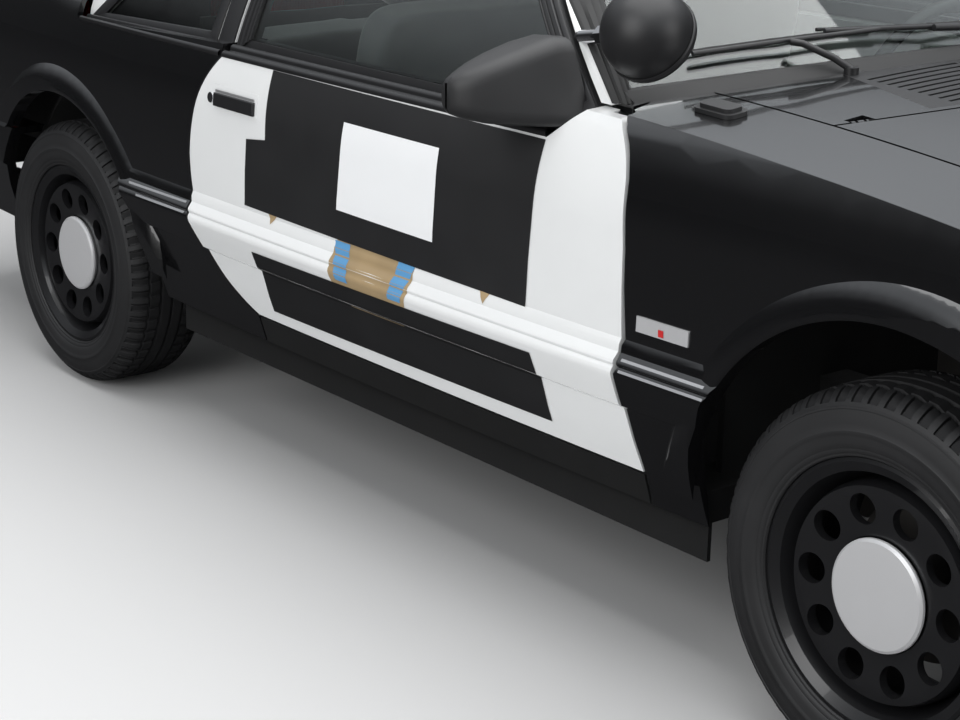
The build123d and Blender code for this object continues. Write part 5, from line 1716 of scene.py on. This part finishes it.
@dataclass
class Studio:
    """Floor, world, lamps and camera.

    Args:
        camera: place of the camera.
        rows: its right, up and back directions.
        focal_pixels: focal length for a picture as wide as image_width.
        image_width: width that the focal length was found for.
        sensor: sensor width in millimetres.
        floor: colour of the floor, and as paint mirrors it.
        floor_half: half the floor's side.
        sky: colour and strength of the light from round about.
        mirrored: colour of the mirrored sky.
        rise: heights between which the mirrored sky turns from dark to bright, and its two strengths.
        lamps: name, place, target, side in metres and watts.
    """

    camera: Point = (3.16407, -3.01760, 1.55087)
    rows: tuple[Point, Point, Point] = (
        (0.6206, 0.7839, 0.018), (-0.2421, 0.1697, 0.9553), (0.7459, -0.5972, 0.2951),
    )
    focal_pixels: float = 2024.28
    image_width: float = 960.0
    sensor: float = 36.0
    floor: tuple[Point, Point] = ((0.62, 0.62, 0.62), (0.045, 0.045, 0.047))
    floor_half: float = 40.0
    sky: tuple[Point, float] = ((0.86, 0.88, 0.9), 0.55)
    mirrored: Point = (0.84, 0.88, 0.93)
    rise: tuple[float, float, float, float] = (0.12, 0.62, 0.03, 0.9)
    lamps: tuple[tuple[str, Point, Point, float, float], ...] = (
        ("sky_panel", (0.5, 0.0, 5.2), (0.0, 0.0, 0.6), 6.5, 330),
        ("right_panel", (1.5, -6.0, 3.0), (0.2, 0.0, 0.6), 4.0, 150),
        ("front_panel", (6.5, 1.5, 2.6), (0.6, 0.0, 0.5), 3.5, 90),
    )

    def build(self) -> None:
        """Set up everything round the car."""
        self._camera()
        self._floor()
        self._world()
        for lamp in self.lamps:
            self._lamp(*lamp)
        bpy.context.scene.view_settings.view_transform = "Standard"

    def _camera(self) -> None:
        """Camera at the photo's place and angle."""
        data = bpy.data.cameras.new("camera")
        data.sensor_width = self.sensor
        data.lens = self.focal_pixels / self.image_width * data.sensor_width
        data.clip_end = 200.0
        camera = bpy.data.objects.new("camera", data)
        columns = Matrix(self.rows).transposed()
        camera.matrix_world = Matrix.Translation(self.camera) @ columns.to_4x4()
        bpy.context.scene.collection.objects.link(camera)
        bpy.context.scene.camera = camera

    def _floor(self) -> None:
        """Pale floor that the paint mirrors as dark ground."""
        half = self.floor_half
        ring = [(-half, -half, 0), (half, -half, 0), (half, half, 0), (-half, half, 0)]
        floor = from_pydata("floor", ring, [(0, 1, 2, 3)])
        seen, mirrored = self.floor
        material = bpy.data.materials.new("floor")
        material.use_nodes = True
        board = Board(material.node_tree)
        shader = board.tree.nodes["Principled BSDF"]
        shader.inputs["Base Color"].default_value = (*seen, 1)
        shader.inputs["Roughness"].default_value = 0.85
        ground = board.node("ShaderNodeBsdfDiffuse", sockets={"Color": (*mirrored, 1)})
        path = board.node("ShaderNodeLightPath")
        mix = board.node("ShaderNodeMixShader", sockets={
            0: path.outputs["Is Glossy Ray"], 1: shader.outputs[0], 2: ground.outputs[0]})
        board.wire(mix.outputs[0]).to(board.tree.nodes["Material Output"].inputs["Surface"])
        floor.data.materials.append(material)

    def _world(self) -> None:
        """Even light from round about, and a sky that brightens upwards where it is mirrored."""
        world = bpy.data.worlds.new("world")
        bpy.context.scene.world = world
        world.use_nodes = True
        board = Board(world.node_tree)
        board.tree.nodes.clear()
        colour, strength = self.sky
        plain = board.node("ShaderNodeBackground", sockets={"Color": (*colour, 1), "Strength": strength})
        place = board.node("ShaderNodeTexCoord")
        split = board.node("ShaderNodeSeparateXYZ", sockets={0: place.outputs["Generated"]})
        limits = dict(zip(("From Min", "From Max", "To Min", "To Max"), self.rise))
        rise = board.node("ShaderNodeMapRange", {"interpolation_type": "SMOOTHSTEP"}, {
            "Value": split.outputs["Z"], **limits})
        dim = board.node("ShaderNodeBackground", sockets={
            "Color": (*self.mirrored, 1), "Strength": rise.outputs["Result"]})
        path = board.node("ShaderNodeLightPath")
        mix = board.node("ShaderNodeMixShader", sockets={
            0: path.outputs["Is Glossy Ray"], 1: plain.outputs[0], 2: dim.outputs[0]})
        board.node("ShaderNodeOutputWorld", sockets={"Surface": mix.outputs[0]})

    @staticmethod
    def _lamp(name: str, place: Point, target: Point, size: float, watts: float) -> None:
        """Square area lamp that looks at a target.

        Args:
            name: its name.
            place: where it hangs.
            target: what it looks at.
            size: length of its side in metres.
            watts: its power.
        """
        data = bpy.data.lights.new(name, "AREA")
        data.size = size
        data.energy = watts
        lamp = bpy.data.objects.new(name, data)
        lamp.location = place
        lamp.rotation_euler = (Vector(target) - Vector(place)).to_track_quat("-Z", "Y").to_euler()
        bpy.context.scene.collection.objects.link(lamp)


def clear_scene() -> None:
    """Remove what Blender starts with."""
    for obj in list(bpy.data.objects):
        bpy.data.objects.remove(obj)


def corners(box: tuple[Vector, Vector]) -> list[list[float]]:
    """Two corners as plain lists."""
    return [list(corner) for corner in box]


def main() -> None:
    """Load the frame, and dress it."""
    logging.basicConfig(level=logging.INFO)
    clear_scene()
    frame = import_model()
    paint = Paintbox()
    Studio().build()
    for dresser in (Panels, Wheels, Doors, Badges, Windows, Fittings, Seats):
        dresser(frame, paint).build()
        LOG.info("%s done", dresser.__name__)
    bpy.context.view_layer.update()


if __name__ == "__main__":
    main()
